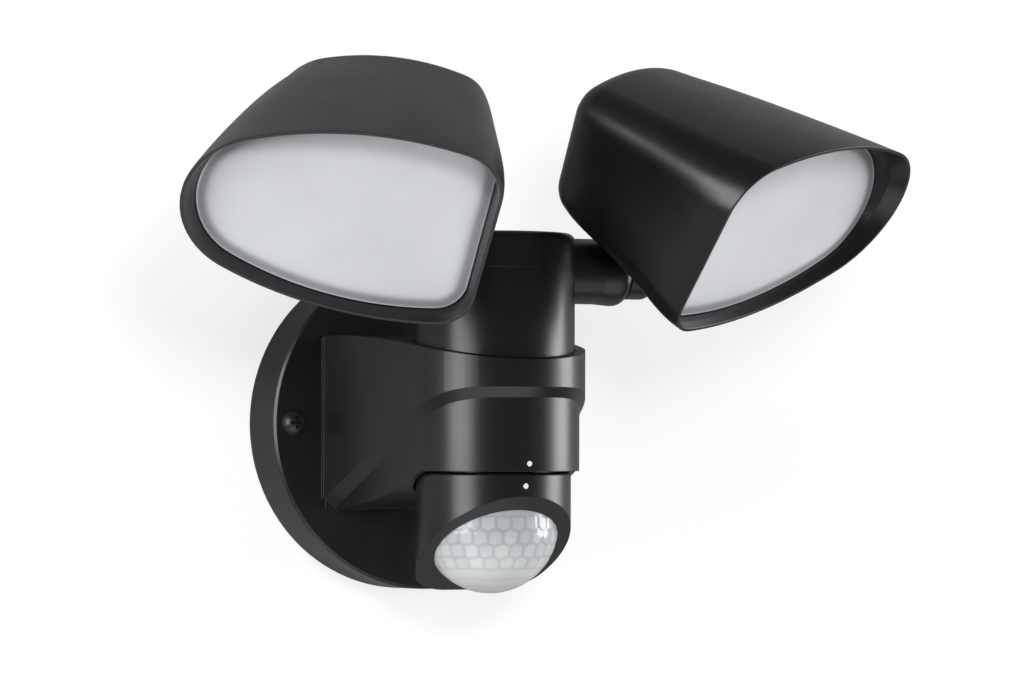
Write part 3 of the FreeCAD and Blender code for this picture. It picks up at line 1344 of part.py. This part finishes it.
inner_trim = Part.makeCylinder(rim_radius - dome_wall, 40, Vector(0, SHIFT_Y, above - 0.5))
lens_solid = solid_lens.cut([tube_core, core.common(inner_trim)])
shape_node("sensor_lens", lens_solid.removeSplitter(), FACE)

clamp_back = flange_back - float(P.clamp_thick)
post_back = clamp_back - float(P.post_length)
clamp = Part.makeCylinder(float(P.dome_flange_radius), float(P.clamp_thick),
                          Vector(0, SHIFT_Y, clamp_back))
clamp = clamp.cut(Part.makeCylinder(float(P.clamp_bore_radius), 10,
                                    Vector(0, SHIFT_Y, clamp_back - 4)))
for side in (-1, 1):
    x = side * float(P.post_offset)
    arm_bar = Part.makeBox(8, 2 * float(P.post_radius), float(P.clamp_thick),
                           Vector(x if side > 0 else x - 8, SHIFT_Y - float(P.post_radius),
                                  clamp_back))
    post = Part.makeCylinder(float(P.post_radius), clamp_back - post_back + float(P.clamp_thick),
                             Vector(x, SHIFT_Y, post_back))
    clamp = clamp.fuse([arm_bar.common(Part.makeCylinder(float(P.dome_flange_radius), 60,
                                                         Vector(0, SHIFT_Y, -30))), post])
for side in (-1, 1):
    clamp = clamp.cut(Part.makeCylinder(float(P.sensor_screw_radius) + 0.03,
                                        float(P.sensor_screw_length),
                                        Vector(side * float(P.post_offset), SHIFT_Y, post_back)))
shape_node("sensor_lens_clamp", clamp.removeSplitter(), FACE)

board_low = post_back - float(P.sensor_board_thick)
sensor_board = Part.makeCylinder(float(P.sensor_board_radius), float(P.sensor_board_thick),
                                 Vector(0, SHIFT_Y, board_low))
for side in (-1, 1):
    sensor_board = sensor_board.cut(Part.makeCylinder(
        float(P.sensor_screw_radius) + 0.1, 10,
        Vector(side * float(P.post_offset), SHIFT_Y, board_low - 5)))
shape_node("sensor_board", sensor_board, FACE)
shape_node("pyro_sensor", Part.makeCylinder(float(P.pyro_radius), float(P.pyro_height),
                                            Vector(0, SHIFT_Y, post_back)), FACE)
shape_node("light_sensor", Part.makeCylinder(
    float(P.photocell_radius), float(P.photocell_height),
    Vector(0, SHIFT_Y + float(P.photocell_offset), post_back)), FACE)
sensor_screw = screw(float(P.sensor_head_radius), float(P.sensor_head_height),
                     float(P.sensor_screw_radius),
                     float(P.sensor_board_thick + P.sensor_screw_length) - 0.4)
sensor_screws = copies(sensor_screw, [
    Placement(Vector(side * float(P.post_offset), SHIFT_Y, board_low), Rotation(X_AXIS, 180))
    for side in (-1, 1)])
shape_node("sensor_board_screws", sensor_screws, FACE)

# --------------------------------------------------------------------------
# Checks on every object, then one STEP file for each sub-part
# --------------------------------------------------------------------------
doc.recompute()
for obj in doc.Objects:
    for state in obj.State:
        if "Invalid" in state or "Error" in state:
            raise RuntimeError("%s (%s) is %s" % (obj.Name, obj.Label, state))
os.makedirs("parts", exist_ok=True)
for obj in NODES:
    shape = obj.Shape
    if shape.isNull() or not shape.isValid() or not shape.Solids:
        raise RuntimeError("%s has no valid solid" % obj.Label)
    if shape.Volume <= 0:
        raise RuntimeError("%s has no volume" % obj.Label)
for obj in NODES:
    shape = obj.Shape
    if len(shape.Solids) == 1:
        shape = shape.Solids[0]
    shape.exportStep("parts/%s.step" % obj.Label)
    print("%-26s %2d %10.1f" % (obj.Label, len(obj.Shape.Solids), obj.Shape.Volume))
print("%d sub-parts" % len(NODES))
for side_name, side in SIDES:
    frame = mirror_place(elbow_place(side_name), side)
    axis = frame.Rotation.multVec(Z_AXIS)
    print("neck axis %s (%.6f, %.6f, %.6f)" % (side_name, axis.x, axis.y, axis.z))
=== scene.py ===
import bpy
import json
import math
from mathutils import Matrix, Vector


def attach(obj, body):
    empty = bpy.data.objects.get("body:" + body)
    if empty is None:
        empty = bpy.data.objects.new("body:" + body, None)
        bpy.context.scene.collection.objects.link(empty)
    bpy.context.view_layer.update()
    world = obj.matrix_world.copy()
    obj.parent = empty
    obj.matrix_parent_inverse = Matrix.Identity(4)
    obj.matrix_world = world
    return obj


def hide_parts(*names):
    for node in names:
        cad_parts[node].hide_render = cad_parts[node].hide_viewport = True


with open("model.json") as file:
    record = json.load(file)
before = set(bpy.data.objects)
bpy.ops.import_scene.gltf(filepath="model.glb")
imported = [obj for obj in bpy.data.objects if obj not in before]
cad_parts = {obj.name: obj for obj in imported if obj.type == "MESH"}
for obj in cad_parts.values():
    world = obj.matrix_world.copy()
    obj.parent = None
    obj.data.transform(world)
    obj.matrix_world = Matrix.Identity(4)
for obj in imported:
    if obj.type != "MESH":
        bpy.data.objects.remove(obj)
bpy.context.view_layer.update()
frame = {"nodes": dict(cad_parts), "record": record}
nodes = frame["nodes"]
MM = 0.001


# ---------------------------------------------------------------- materials
class Shader:
    """A node material with short calls for the nodes that it uses."""

    def __init__(self, name):
        self.material = bpy.data.materials.new(name)
        self.material.use_nodes = True
        self.tree = self.material.node_tree
        self.bsdf = self.tree.nodes["Principled BSDF"]
        self.output = self.tree.nodes["Material Output"]
        self.coords = self.add("ShaderNodeTexCoord").outputs["Object"]

    def add(self, kind, **settings):
        node = self.tree.nodes.new(kind)
        for key, value in settings.items():
            setattr(node, key, value)
        return node

    def link(self, source, target):
        self.tree.links.new(source, target)

    def feed(self, target, value):
        if hasattr(value, "is_output"):
            self.link(value, target)
        elif isinstance(value, (tuple, list)) and len(value) == 3 and target.type == "RGBA":
            target.default_value = (*value, 1)
        else:
            target.default_value = value

    def noise(self, scale, detail=3.0, rough=0.5, stretch=None):
        source = self.coords
        if stretch:
            mapping = self.add("ShaderNodeMapping")
            mapping.inputs["Scale"].default_value = stretch
            self.link(source, mapping.inputs["Vector"])
            source = mapping.outputs["Vector"]
        node = self.add("ShaderNodeTexNoise")
        node.inputs["Scale"].default_value = scale
        node.inputs["Detail"].default_value = detail
        node.inputs["Roughness"].default_value = rough
        self.link(source, node.inputs["Vector"])
        return node.outputs["Fac"]

    def spread(self, value, low, high, from_low=0.0, from_high=1.0):
        node = self.add("ShaderNodeMapRange")
        self.feed(node.inputs["Value"], value)
        node.inputs["From Min"].default_value = from_low
        node.inputs["From Max"].default_value = from_high
        node.inputs["To Min"].default_value = low
        node.inputs["To Max"].default_value = high
        return node.outputs["Result"]

    def math(self, operation, first, second):
        node = self.add("ShaderNodeMath", operation=operation)
        self.feed(node.inputs[0], first)
        self.feed(node.inputs[1], second)
        return node.outputs["Value"]

    def mix(self, factor, first, second):
        node = self.add("ShaderNodeMix", data_type="RGBA")
        self.feed(node.inputs["Factor"], factor)
        self.feed(node.inputs["A"], first)
        self.feed(node.inputs["B"], second)
        return node.outputs["Result"]

    def bump(self, height, distance, strength=1.0, normal=None):
        node = self.add("ShaderNodeBump")
        node.inputs["Distance"].default_value = distance
        node.inputs["Strength"].default_value = strength
        self.link(height, node.inputs["Height"])
        if normal is not None:
            self.link(normal, node.inputs["Normal"])
        return node.outputs["Normal"]

    def round_edges(self, radius):
        node = self.add("ShaderNodeBevel", samples=6)
        node.inputs["Radius"].default_value = radius
        return node.outputs["Normal"]

    def set(self, **inputs):
        for name, value in inputs.items():
            self.feed(self.bsdf.inputs[name.replace("_", " ")], value)


def shade(value):
    """A grey, or three numbers, as written in sRGB from 0 to 255, made linear."""
    def linear(channel):
        c = channel / 255
        return c / 12.92 if c <= 0.04045 else ((c + 0.055) / 1.055) ** 2.4
    if isinstance(value, (int, float)):
        value = (value, value, value)
    return tuple(linear(channel) for channel in value)


def moulded(name, dark, light, rough_low, rough_high, grain=0.00002, edge=0.00035,
            specular=0.5):
    """Moulded plastic: slow colour drift, fine spark texture and slightly rounded edges."""
    s = Shader(name)
    drift = s.noise(35, 4)
    fine = s.noise(1400, 2)
    tone = s.math("ADD", s.math("MULTIPLY", drift, 0.7), s.math("MULTIPLY", fine, 0.3))
    s.set(Base_Color=s.mix(s.spread(tone, 0, 1, 0.35, 0.65), shade(dark), shade(light)))
    s.set(Roughness=s.spread(s.noise(60, 4), rough_low, rough_high, 0.3, 0.7))
    s.bsdf.inputs["Specular IOR Level"].default_value = specular
    normal = s.bump(s.noise(2600, 2), grain, 0.6, s.round_edges(edge))
    s.set(Normal=normal)
    return s


def metal(name, dark, light, rough_low, rough_high, stretch=None):
    """Bare metal with a fine drift of colour, or with rolling lines where it is stretched."""
    s = Shader(name)
    tone = s.noise(220, 5, 0.6, stretch)
    s.set(Base_Color=s.mix(s.spread(tone, 0, 1, 0.3, 0.7), shade(dark), shade(light)))
    s.set(Metallic=1.0, Roughness=s.spread(s.noise(500, 3), rough_low, rough_high, 0.3, 0.7))
    s.set(Normal=s.bump(tone, 0.00002, 0.5, s.round_edges(0.0001)))
    return s


housing = moulded("satin_black", 19, 25, 0.29, 0.35, specular=0.6)
seal = moulded("soft_rubber", 22, 28, 0.65, 0.8, 0.00004, 0.0001, 0.3)
inner_plastic = moulded("light_moulding", 196, 210, 0.4, 0.5, 0.00001, 0.0001)
component = moulded("component_body", 38, 52, 0.35, 0.55, 0.00002, 0.0001)
white_dot = moulded("white_inlay", 228, 238, 0.4, 0.5, 0.00001, 0.00005)
steel = metal("plated_steel", (150, 150, 152), (185, 185, 190), 0.28, 0.42)
brass = metal("plain_brass", (176, 142, 84), (205, 172, 108), 0.25, 0.4)
aluminium = metal("rolled_aluminium", (170, 171, 174), (200, 201, 204), 0.3, 0.42, (1, 14, 1))
black_coating = moulded("black_screw", 26, 34, 0.3, 0.38, 0.00001, 0.00015)


def circuit_board():
    """White solder mask, with the copper under it as faint raised patches."""
    s = Shader("white_solder_mask")
    patches = s.noise(90, 6, 0.7)
    s.set(Base_Color=s.mix(s.spread(patches, 0, 1, 0.47, 0.53), shade((206, 212, 209)),
                           shade((224, 228, 226))))
    s.set(Roughness=s.spread(s.noise(400, 2), 0.3, 0.45))
    s.set(Normal=s.bump(s.spread(patches, 0, 1, 0.48, 0.52), 0.00003, 0.5))
    return s


def phosphor():
    """Yellow phosphor over the chips of the lamps."""
    s = Shader("phosphor_chip")
    s.set(Base_Color=s.mix(s.noise(900, 2), shade((222, 200, 96)), shade((236, 218, 128))))
    s.set(Roughness=s.spread(s.noise(600, 2), 0.25, 0.4))
    return s


def frosted():
    """Opal sheet of the lamp heads. Its field is milky and its clearer edge shows the dark
    behind it, and a thin painted highlight runs along its very edge; the mesh stores which is
    which."""
    s = Shader("frosted_opal")
    field = s.add("ShaderNodeAttribute", attribute_name="milky").outputs["Fac"]
    cloud = s.spread(s.noise(28, 3), 0, 1, 0.35, 0.65)
    body = s.mix(cloud, shade((206, 208, 213)), shade((214, 216, 221)))
    edge = s.mix(cloud, shade((136, 137, 142)), shade((148, 149, 154)))
    # the milky attribute also holds a painted highlight line along the sheet's outer edge
    s.set(Base_Color=s.mix(field, edge, body))
    s.set(Roughness=s.spread(s.noise(120, 3), 0.52, 0.6))
    s.set(Normal=s.bump(s.noise(2400, 3), 0.00002, 0.5, s.round_edges(0.0003)))
    s.bsdf.inputs["Subsurface Weight"].default_value = 0.25
    s.bsdf.inputs["Subsurface Radius"].default_value = (1, 1, 1)
    s.bsdf.inputs["Subsurface Scale"].default_value = 0.002
    return s


def milky_lens():
    """Milky segmented lens: the seams between its facets and its tone (a painted shade, lighter
    towards the bottom, plus a random tone per cell) are stored on the mesh.
    """
    s = Shader("milky_lens")
    seam = s.add("ShaderNodeAttribute", attribute_name="seam").outputs["Fac"]
    tone = s.add("ShaderNodeAttribute", attribute_name="tone").outputs["Fac"]
    cloud = s.math("MULTIPLY", s.noise(60, 3), 0.25)
    # tone lightens the body: a painted shade, lighter towards the dome's bottom, plus a random
    # tone per cell
    body = s.mix(s.math("ADD", cloud, s.math("MULTIPLY", tone, 0.75)), shade((168, 173, 180)),
                 shade((226, 228, 225)))
    s.set(Base_Color=s.mix(s.math("MULTIPLY", seam, 0.45), body, shade((128, 136, 142))))
    s.set(Roughness=s.spread(s.noise(300, 2), 0.4, 0.5))
    s.bsdf.inputs["Subsurface Weight"].default_value = 0.3
    s.bsdf.inputs["Subsurface Radius"].default_value = (1, 1, 1)
    s.bsdf.inputs["Subsurface Scale"].default_value = 0.0015
    s.set(Coat_Weight=0.75, Coat_Roughness=0.04)
    return s


MATERIALS = {
    "housing": housing, "seal": seal, "steel": steel, "black_screw": black_coating,
    "brass": brass, "inner_plastic": inner_plastic, "circuit_board": circuit_board(),
    "component": component, "spreader": aluminium, "led": phosphor(),
    "diffuser": frosted(), "sensor_lens": milky_lens(), "index_dot": white_dot,
}


def paint(obj, shader):
    obj.data.materials.clear()
    obj.data.materials.append(shader.material)


for entry in frame["record"]["subparts"]:
    paint(nodes[entry["node"]], MATERIALS[entry["material_slot"]])


# ---------------------------------------------------------------- sensor dome
def smooth_step(low, high, value):
    t = min(max((value - low) / (high - low), 0.0), 1.0)
    return t * t * (3 - 2 * t)


def add_piece(name, points, faces, slot, body, node, attributes, hard_edges=40):
    """A smooth mesh piece, painted with its slot's material and hung on its body, in place of
    the node that it stands for, which is hidden.
    """
    data = bpy.data.meshes.new(name)
    data.from_pydata(points, [], faces)
    for key, values in attributes.items():
        layer = data.attributes.new(key, "FLOAT", "POINT")
        layer.data.foreach_set("value", values)
    data.validate()
    for polygon in data.polygons:
        polygon.use_smooth = True
    data.set_sharp_from_angle(angle=math.radians(hard_edges))
    piece = bpy.data.objects.new(name, data)
    bpy.context.collection.objects.link(piece)
    paint(piece, MATERIALS[slot])
    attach(piece, body)
    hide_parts(node)
    return piece


# the sensor's slanted face: its directions, and the dome's centre on it, in mm
FACE_SLANT = math.radians(35.5)
FACE_OUT = Vector((0, -math.sin(FACE_SLANT), -math.cos(FACE_SLANT)))
FACE_UP = Vector((0, -math.cos(FACE_SLANT), math.sin(FACE_SLANT)))
FACE_ACROSS = Vector((1, 0, 0))
DOME_SHIFT = 3.0
FACE_CENTRE = Vector((0, -79.0, -44.36)) + FACE_UP * DOME_SHIFT
# the dome: radii, and heights over the face, in mm
DOME_RADIUS, DOME_RIM, DOME_SINK, DOME_WALL = 23.9, 22.0, 9.0, 0.9
FLANGE_RADIUS, FLANGE_FRONT, FLANGE_BACK = 23.4, -2.5, -3.7
DOME_SEGMENTS, OUTER_RINGS, INNER_RINGS = 360, 84, 20
# its cells: elevation of the first row and steps between rows and cells, in degrees
ROW_TOP, ROW_STEP, CELL_STEP, LAST_CELL_ROW = 2.6, 12.0, 12.7, 3.5
GROOVE_DEPTH, GROOVE_ANGLE, GROOVE_FADE = 0.12, 2.4, 0.45
# PAINTED_SHADE_ROWS: rows across which the dome is painted from darker at the top to lighter at
# the bottom, a painted shade; CELL_CONTRAST and the scatters give each cell a random tone
PAINTED_SHADE_ROWS, CELL_CONTRAST, ROW_SCATTER, CELL_SCATTER = (-0.5, 4.5), 0.12, 5.1, 2.7
RING_SHARE, RING_WAVE, RING_WAVES = 0.35, 0.12, 5


def cell_centre(row, azimuth):
    """Azimuth and elevation of the nearest cell of one row, and the cell's number."""
    elevation = ROW_TOP - ROW_STEP * row
    step = CELL_STEP / math.cos(math.radians(elevation))
    offset = 0.5 * (row % 2)
    number = round(azimuth / step - offset)
    return (number + offset) * step, elevation, number


def apart(azimuth, elevation, other_azimuth, other_elevation):
    """About the angle between two directions that lie close together, in degrees."""
    across = (azimuth - other_azimuth) * math.cos(math.radians(elevation))
    return math.hypot(across, elevation - other_elevation)


def dome_pattern(direction):
    """How near a point of the dome is to a seam, 0 to 1, and its tone: a painted shade, lighter
    towards the bottom, plus the random tone of its cell.
    """
    elevation = math.degrees(math.asin(max(-1.0, min(1.0, direction.z))))
    azimuth = math.degrees(math.atan2(direction.x, -direction.y))
    row = (ROW_TOP - elevation) / ROW_STEP
    # painted shade: the dome darkens towards its top rows and lightens towards its bottom
    tone = smooth_step(*PAINTED_SHADE_ROWS, row)
    if row > LAST_CELL_ROW or row < -0.5:
        wave = RING_WAVE * math.sin(math.radians(azimuth) * RING_WAVES)
        gap = abs(row + wave - math.floor(row + wave) - 0.5) * ROW_STEP
        return RING_SHARE * (1 - smooth_step(0, GROOVE_ANGLE, gap)), tone
    found = set()
    for offset in (-1, 0, 1):
        line = max(round(row) + offset, 0)
        if line > LAST_CELL_ROW:
            continue
        for shift in (-0.5, 0.0, 0.5):
            centre = cell_centre(line, azimuth + shift * CELL_STEP)
            found.add((apart(azimuth, elevation, centre[0], centre[1]), line, centre[2]))
    found = sorted(found)
    second = next(item for item in found if item[1:] != found[0][1:])
    gap = (second[0] - found[0][0]) / 2
    if row > LAST_CELL_ROW - 0.5:
        gap = min(gap, (LAST_CELL_ROW - row) * ROW_STEP)
    if row < 0:
        gap = min(gap, (row + 0.5) * ROW_STEP)
    line, number = found[0][1:]
    own = CELL_CONTRAST * math.sin(line * ROW_SCATTER + number * CELL_SCATTER)
    fade = 1 - GROOVE_FADE * line / LAST_CELL_ROW
    return fade * (1 - smooth_step(0, GROOVE_ANGLE, gap)), min(max(tone + own, 0.0), 1.0)


def dome_profile():
    """Radius, height over the face and whether it has cells, from the crown out and back."""
    profile = []
    widest = math.asin(DOME_RIM / DOME_RADIUS)
    for index in range(1, OUTER_RINGS + 1):
        angle = widest * index / OUTER_RINGS
        height = DOME_RADIUS * math.cos(angle) - DOME_SINK
        profile.append((DOME_RADIUS * math.sin(angle), height, True))
    bore = DOME_RIM - DOME_WALL
    for radius, height in ((DOME_RIM, FLANGE_FRONT), (FLANGE_RADIUS, FLANGE_FRONT),
                           (FLANGE_RADIUS, FLANGE_BACK), (bore, FLANGE_BACK)):
        profile.append((radius, height, False))
    inside = DOME_RADIUS - DOME_WALL
    widest = math.asin(bore / inside)
    for index in range(INNER_RINGS, 0, -1):
        angle = widest * index / INNER_RINGS
        profile.append((inside * math.sin(angle), inside * math.cos(angle) - DOME_SINK, False))
    return profile


def dome():
    """Thin milky dome with six-sided cells in its upper rows, rings below and a flange."""
    profile = dome_profile()
    points, seams, tones_with_painted_shade = [], [], []
    centre = Vector((0, 0, -DOME_SINK))

    def add(x, y, z, patterned):
        point, seam, tone = Vector((x, y, z)), 0.0, 0.7
        if patterned:
            local = (point - centre).normalized()
            direction = FACE_ACROSS * local.x + FACE_UP * local.y + FACE_OUT * local.z
            seam, tone = dome_pattern(direction)
            point = point - local * seam * GROOVE_DEPTH
        place = FACE_CENTRE + FACE_ACROSS * point.x + FACE_UP * point.y + FACE_OUT * point.z
        points.append(place * MM)
        seams.append(seam)
        tones_with_painted_shade.append(tone)

    add(0, 0, DOME_RADIUS - DOME_SINK, True)
    for radius, height, patterned in profile:
        for step in range(DOME_SEGMENTS):
            angle = 2 * math.pi * step / DOME_SEGMENTS
            add(radius * math.cos(angle), radius * math.sin(angle), height, patterned)
    add(0, 0, DOME_RADIUS - DOME_WALL - DOME_SINK, False)
    last, last_ring = len(points) - 1, 1 + (len(profile) - 1) * DOME_SEGMENTS
    faces = []
    for step in range(DOME_SEGMENTS):
        after = (step + 1) % DOME_SEGMENTS
        faces.append((0, 1 + step, 1 + after))
        faces.append((last, last_ring + after, last_ring + step))
        for first in range(1, last_ring, DOME_SEGMENTS):
            second = first + DOME_SEGMENTS
            faces.append((first + step, second + step, second + after, first + after))
    add_piece("sensor_dome", points, faces, "sensor_lens", "sensor", "sensor_lens",
              {"seam": seams, "tone": tones_with_painted_shade})


dome()


# ---------------------------------------------------------------- diffusers
def convex_outline(points):
    """Corners of the convex outline of (x, y, ...) points, counter-clockwise."""
    points = sorted(set(points))

    def half(sequence):
        chain = []
        for point in sequence:
            while len(chain) > 1:
                a, b = chain[-2], chain[-1]
                if (b[0] - a[0]) * (point[1] - a[1]) - (b[1] - a[1]) * (point[0] - a[0]) > 0:
                    break
                chain.pop()
            chain.append(point)
        return chain[:-1]

    return half(points) + half(points[::-1])


def resample(outline, count):
    """Evenly spaced points along a closed outline."""
    corners = [Vector(point) for point in outline]
    closed = corners + corners[:1]
    lengths = [0.0]
    for first, second in zip(closed[:-1], closed[1:]):
        lengths.append(lengths[-1] + (second - first).length)
    spaced, index = [], 0
    for step in range(count):
        target = lengths[-1] * step / count
        while lengths[index + 1] < target:
            index += 1
        share = (target - lengths[index]) / (lengths[index + 1] - lengths[index])
        spaced.append(closed[index].lerp(closed[index + 1], share))
    return spaced


# inset from the edge, height over the flange in mm and milkiness, from the sheet's edge in; the
# bright rows within 0.4 mm of the edge are a painted highlight along the edge
SHEET_PROFILE = [
    (0.0, -0.5, 0.5), (0.05, -0.2, 0.9), (0.2, -0.05, 1.0), (0.4, 0.0, 0.9), (0.7, 0.0, 0.2),
    (1.1, 0.0, 0.0), (1.7, 0.0, 0.0), (2.3, 0.02, 0.08), (2.9, 0.12, 0.3), (3.5, 0.3, 0.6),
    (4.2, 0.48, 0.82), (5.2, 0.6, 0.93), (6.6, 0.66, 0.98), (8.5, 0.69, 1.0)]
FLANGE_DROP = 0.7
SHEET_POINTS = 200
FIELD_SHARES = (0.75, 0.5, 0.25)


def middle(mesh):
    return sum((vertex.co for vertex in mesh.vertices), Vector()) / len(mesh.vertices)


def facing(solid, shell):
    """Direction in which a thin sheet looks out of its shell."""
    areas = {}
    for polygon in solid.polygons:
        key = tuple(round(value, 3) for value in polygon.normal)
        areas[key] = areas.get(key, 0.0) + polygon.area
    out = Vector(max(areas, key=areas.get)).normalized()
    return out if out.dot(middle(solid) - middle(shell)) > 0 else -out


def opal_sheet(side):
    """Opal sheet: a clearer flange round a soft-edged milky field, with a thin painted
    highlight along its outer edge, all from the solid's own outline."""
    solid = nodes["diffuser_" + side].data
    out = facing(solid, nodes["lamp_housing_" + side].data)
    across = out.cross(Vector((0, 0, 1))).normalized()
    upward = out.cross(across)
    flat = [(v.co.dot(across), v.co.dot(upward), v.co.dot(out)) for v in solid.vertices]
    back = min(point[2] for point in flat)
    flange = max(point[2] for point in flat) - FLANGE_DROP * MM
    outline = resample(convex_outline([point[:2] for point in flat]), SHEET_POINTS)
    count = len(outline)
    inward = []
    for index in range(count):
        run = (outline[(index + 2) % count] - outline[index - 2]).normalized()
        inward.append(Vector((-run.y, run.x)))
    centre = sum(outline, Vector((0, 0))) / count
    rings = [(outline, back, 0.0)]
    for inset, height, milky in SHEET_PROFILE:
        ring = [point + normal * inset * MM for point, normal in zip(outline, inward)]
        rings.append((ring, flange + height * MM, milky))
    field, field_height = rings[-1][:2]
    for share in FIELD_SHARES:
        rings.append(([centre.lerp(point, share) for point in field], field_height, 1.0))
    points, milkiness_and_edge_highlight, faces = [], [], []

    def add(point, height, milky):
        points.append(across * point.x + upward * point.y + out * height)
        milkiness_and_edge_highlight.append(milky)

    for ring, height, milky in rings:
        for point in ring:
            add(point, height, milky)
    add(centre, field_height, 1.0)
    add(centre, back, 0.0)
    front_middle, back_middle = len(points) - 2, len(points) - 1
    last_ring = (len(rings) - 1) * count
    for step in range(count):
        after = (step + 1) % count
        for first in range(0, last_ring, count):
            second = first + count
            faces.append((first + step, first + after, second + after, second + step))
        faces.append((last_ring + step, last_ring + after, front_middle))
        faces.append((after, step, back_middle))
    add_piece("opal_sheet_" + side, points, faces, "diffuser", "head_" + side,
              "diffuser_" + side, {"milky": milkiness_and_edge_highlight}, 60)


for side_name in ("left", "right"):
    opal_sheet(side_name)

# ---------------------------------------------------------------- camera
# fitted to the two rims of the wall plate in the photograph: place in mm, turns in radians
CAMERA_AT = Vector((-620.382, -1436.247, -1.4)) * MM
YAW, PITCH, ROLL = 0.433, -0.02, 0.003
FOCAL_PIXELS, WIDTH_PIXELS, SENSOR = 4289.907, 1024, 36.0
forward = Vector((math.sin(YAW) * math.cos(PITCH), math.cos(YAW) * math.cos(PITCH),
                  -math.sin(PITCH)))
level = Vector((math.cos(YAW), -math.sin(YAW), 0))
upward = level.cross(forward)
right = math.cos(ROLL) * level + math.sin(ROLL) * upward
up = -math.sin(ROLL) * level + math.cos(ROLL) * upward
camera_data = bpy.data.cameras.new("camera")
camera_data.sensor_width = SENSOR
camera_data.lens = FOCAL_PIXELS * SENSOR / WIDTH_PIXELS
camera_data.clip_start, camera_data.clip_end = 0.1, 20
camera = bpy.data.objects.new("camera", camera_data)
turn = Matrix((right, up, -forward)).transposed()
camera.matrix_world = Matrix.Translation(CAMERA_AT) @ turn.to_4x4()
bpy.context.collection.objects.link(camera)
bpy.context.scene.camera = camera

# ---------------------------------------------------------------- wall and light
FOCUS = Vector((0, -0.08, 0.03))


def softbox(name, azimuth, elevation, distance, width, height, power, reflected=True):
    """A soft light that looks at the object. Azimuth 0 is straight in front, 90 on the right.
    One that isn't reflected lights only what scatters light, as through a polarising filter."""
    a, e = math.radians(azimuth), math.radians(elevation)
    data = bpy.data.lights.new(name, "AREA")
    data.shape = "RECTANGLE"
    data.size, data.size_y, data.energy = width, height, power
    lamp = bpy.data.objects.new(name, data)
    out = Vector((math.sin(a) * math.cos(e), -math.cos(a) * math.cos(e), math.sin(e)))
    lamp.location = FOCUS + out * distance
    lamp.rotation_euler = (-out).to_track_quat("-Z", "Y").to_euler()
    lamp.visible_glossy = reflected
    lamp.visible_camera = False
    bpy.context.collection.objects.link(lamp)


softbox("left_box", -69, 6, 1.3, 0.7, 1.0, 13)
softbox("right_box", 77, 8, 1.4, 0.7, 1.2, 20)
softbox("key_box", -14, 12, 1.6, 0.3, 0.3, 10, reflected=False)
softbox("low_box", -12, -58, 1.5, 2.2, 1.4, 10)
softbox("back_box", 205, 20, 1.3, 0.8, 0.8, 18)


WALL_GREY, WALL_GLOW = 0.36, 0.68


def wall_material():
    """Pale wall: a plain grey to the object, and lifted to white where the camera sees it lit,
    so that the object's shadow stays. From behind it is clear."""
    s = Shader("pale_wall")
    s.tree.nodes.remove(s.bsdf)
    rays = s.add("ShaderNodeLightPath")
    seen = s.math("MAXIMUM", rays.outputs["Is Camera Ray"], rays.outputs["Is Transmission Ray"])
    plain = s.add("ShaderNodeBsdfDiffuse")
    plain.inputs["Color"].default_value = (WALL_GREY, WALL_GREY, WALL_GREY, 1)
    glow = s.add("ShaderNodeEmission")
    s.feed(glow.inputs["Strength"], s.math("MULTIPLY", seen, WALL_GLOW))
    both = s.add("ShaderNodeAddShader")
    s.link(plain.outputs[0], both.inputs[0])
    s.link(glow.outputs[0], both.inputs[1])
    clear = s.add("ShaderNodeBsdfTransparent")
    side = s.add("ShaderNodeMixShader")
    s.link(s.add("ShaderNodeNewGeometry").outputs["Backfacing"], side.inputs[0])
    s.link(both.outputs[0], side.inputs[1])
    s.link(clear.outputs[0], side.inputs[2])
    s.link(side.outputs[0], s.output.inputs["Surface"])
    return s


def wall():
    """Flat wall just behind the plate, open where the outlet box would be, so that light from
    behind reaches the back of the plate."""
    count, opening, reach, level = 96, 0.056, 0.6, 0.001
    points, faces = [], []
    for step in range(count):
        angle = 2 * math.pi * step / count
        for radius in (opening, reach):
            points.append((radius * math.cos(angle), level, radius * math.sin(angle)))
        inner, after = 2 * step, 2 * ((step + 1) % count)
        faces.append((inner, inner + 1, after + 1, after))
    mesh = bpy.data.meshes.new("wall")
    mesh.from_pydata(points, [], faces)
    panel = bpy.data.objects.new("wall", mesh)
    bpy.context.collection.objects.link(panel)
    paint(panel, wall_material())


wall()

WORLD_LIGHT = 0.08
world = bpy.data.worlds.new("studio")
bpy.context.scene.world = world
world.use_nodes = True
sky = world.node_tree
background = sky.nodes["Background"]
paths = sky.nodes.new("ShaderNodeLightPath")
seen_rays = sky.nodes.new("ShaderNodeMath")
seen_rays.operation = "MAXIMUM"
sky.links.new(paths.outputs["Is Camera Ray"], seen_rays.inputs[0])
sky.links.new(paths.outputs["Is Transmission Ray"], seen_rays.inputs[1])
strength = sky.nodes.new("ShaderNodeMapRange")
strength.inputs["To Min"].default_value = WORLD_LIGHT
strength.inputs["To Max"].default_value = 1.0
sky.links.new(seen_rays.outputs[0], strength.inputs["Value"])
sky.links.new(strength.outputs["Result"], background.inputs["Strength"])
background.inputs["Color"].default_value = (1, 1, 1, 1)

bpy.context.scene.view_settings.view_transform = "Standard"
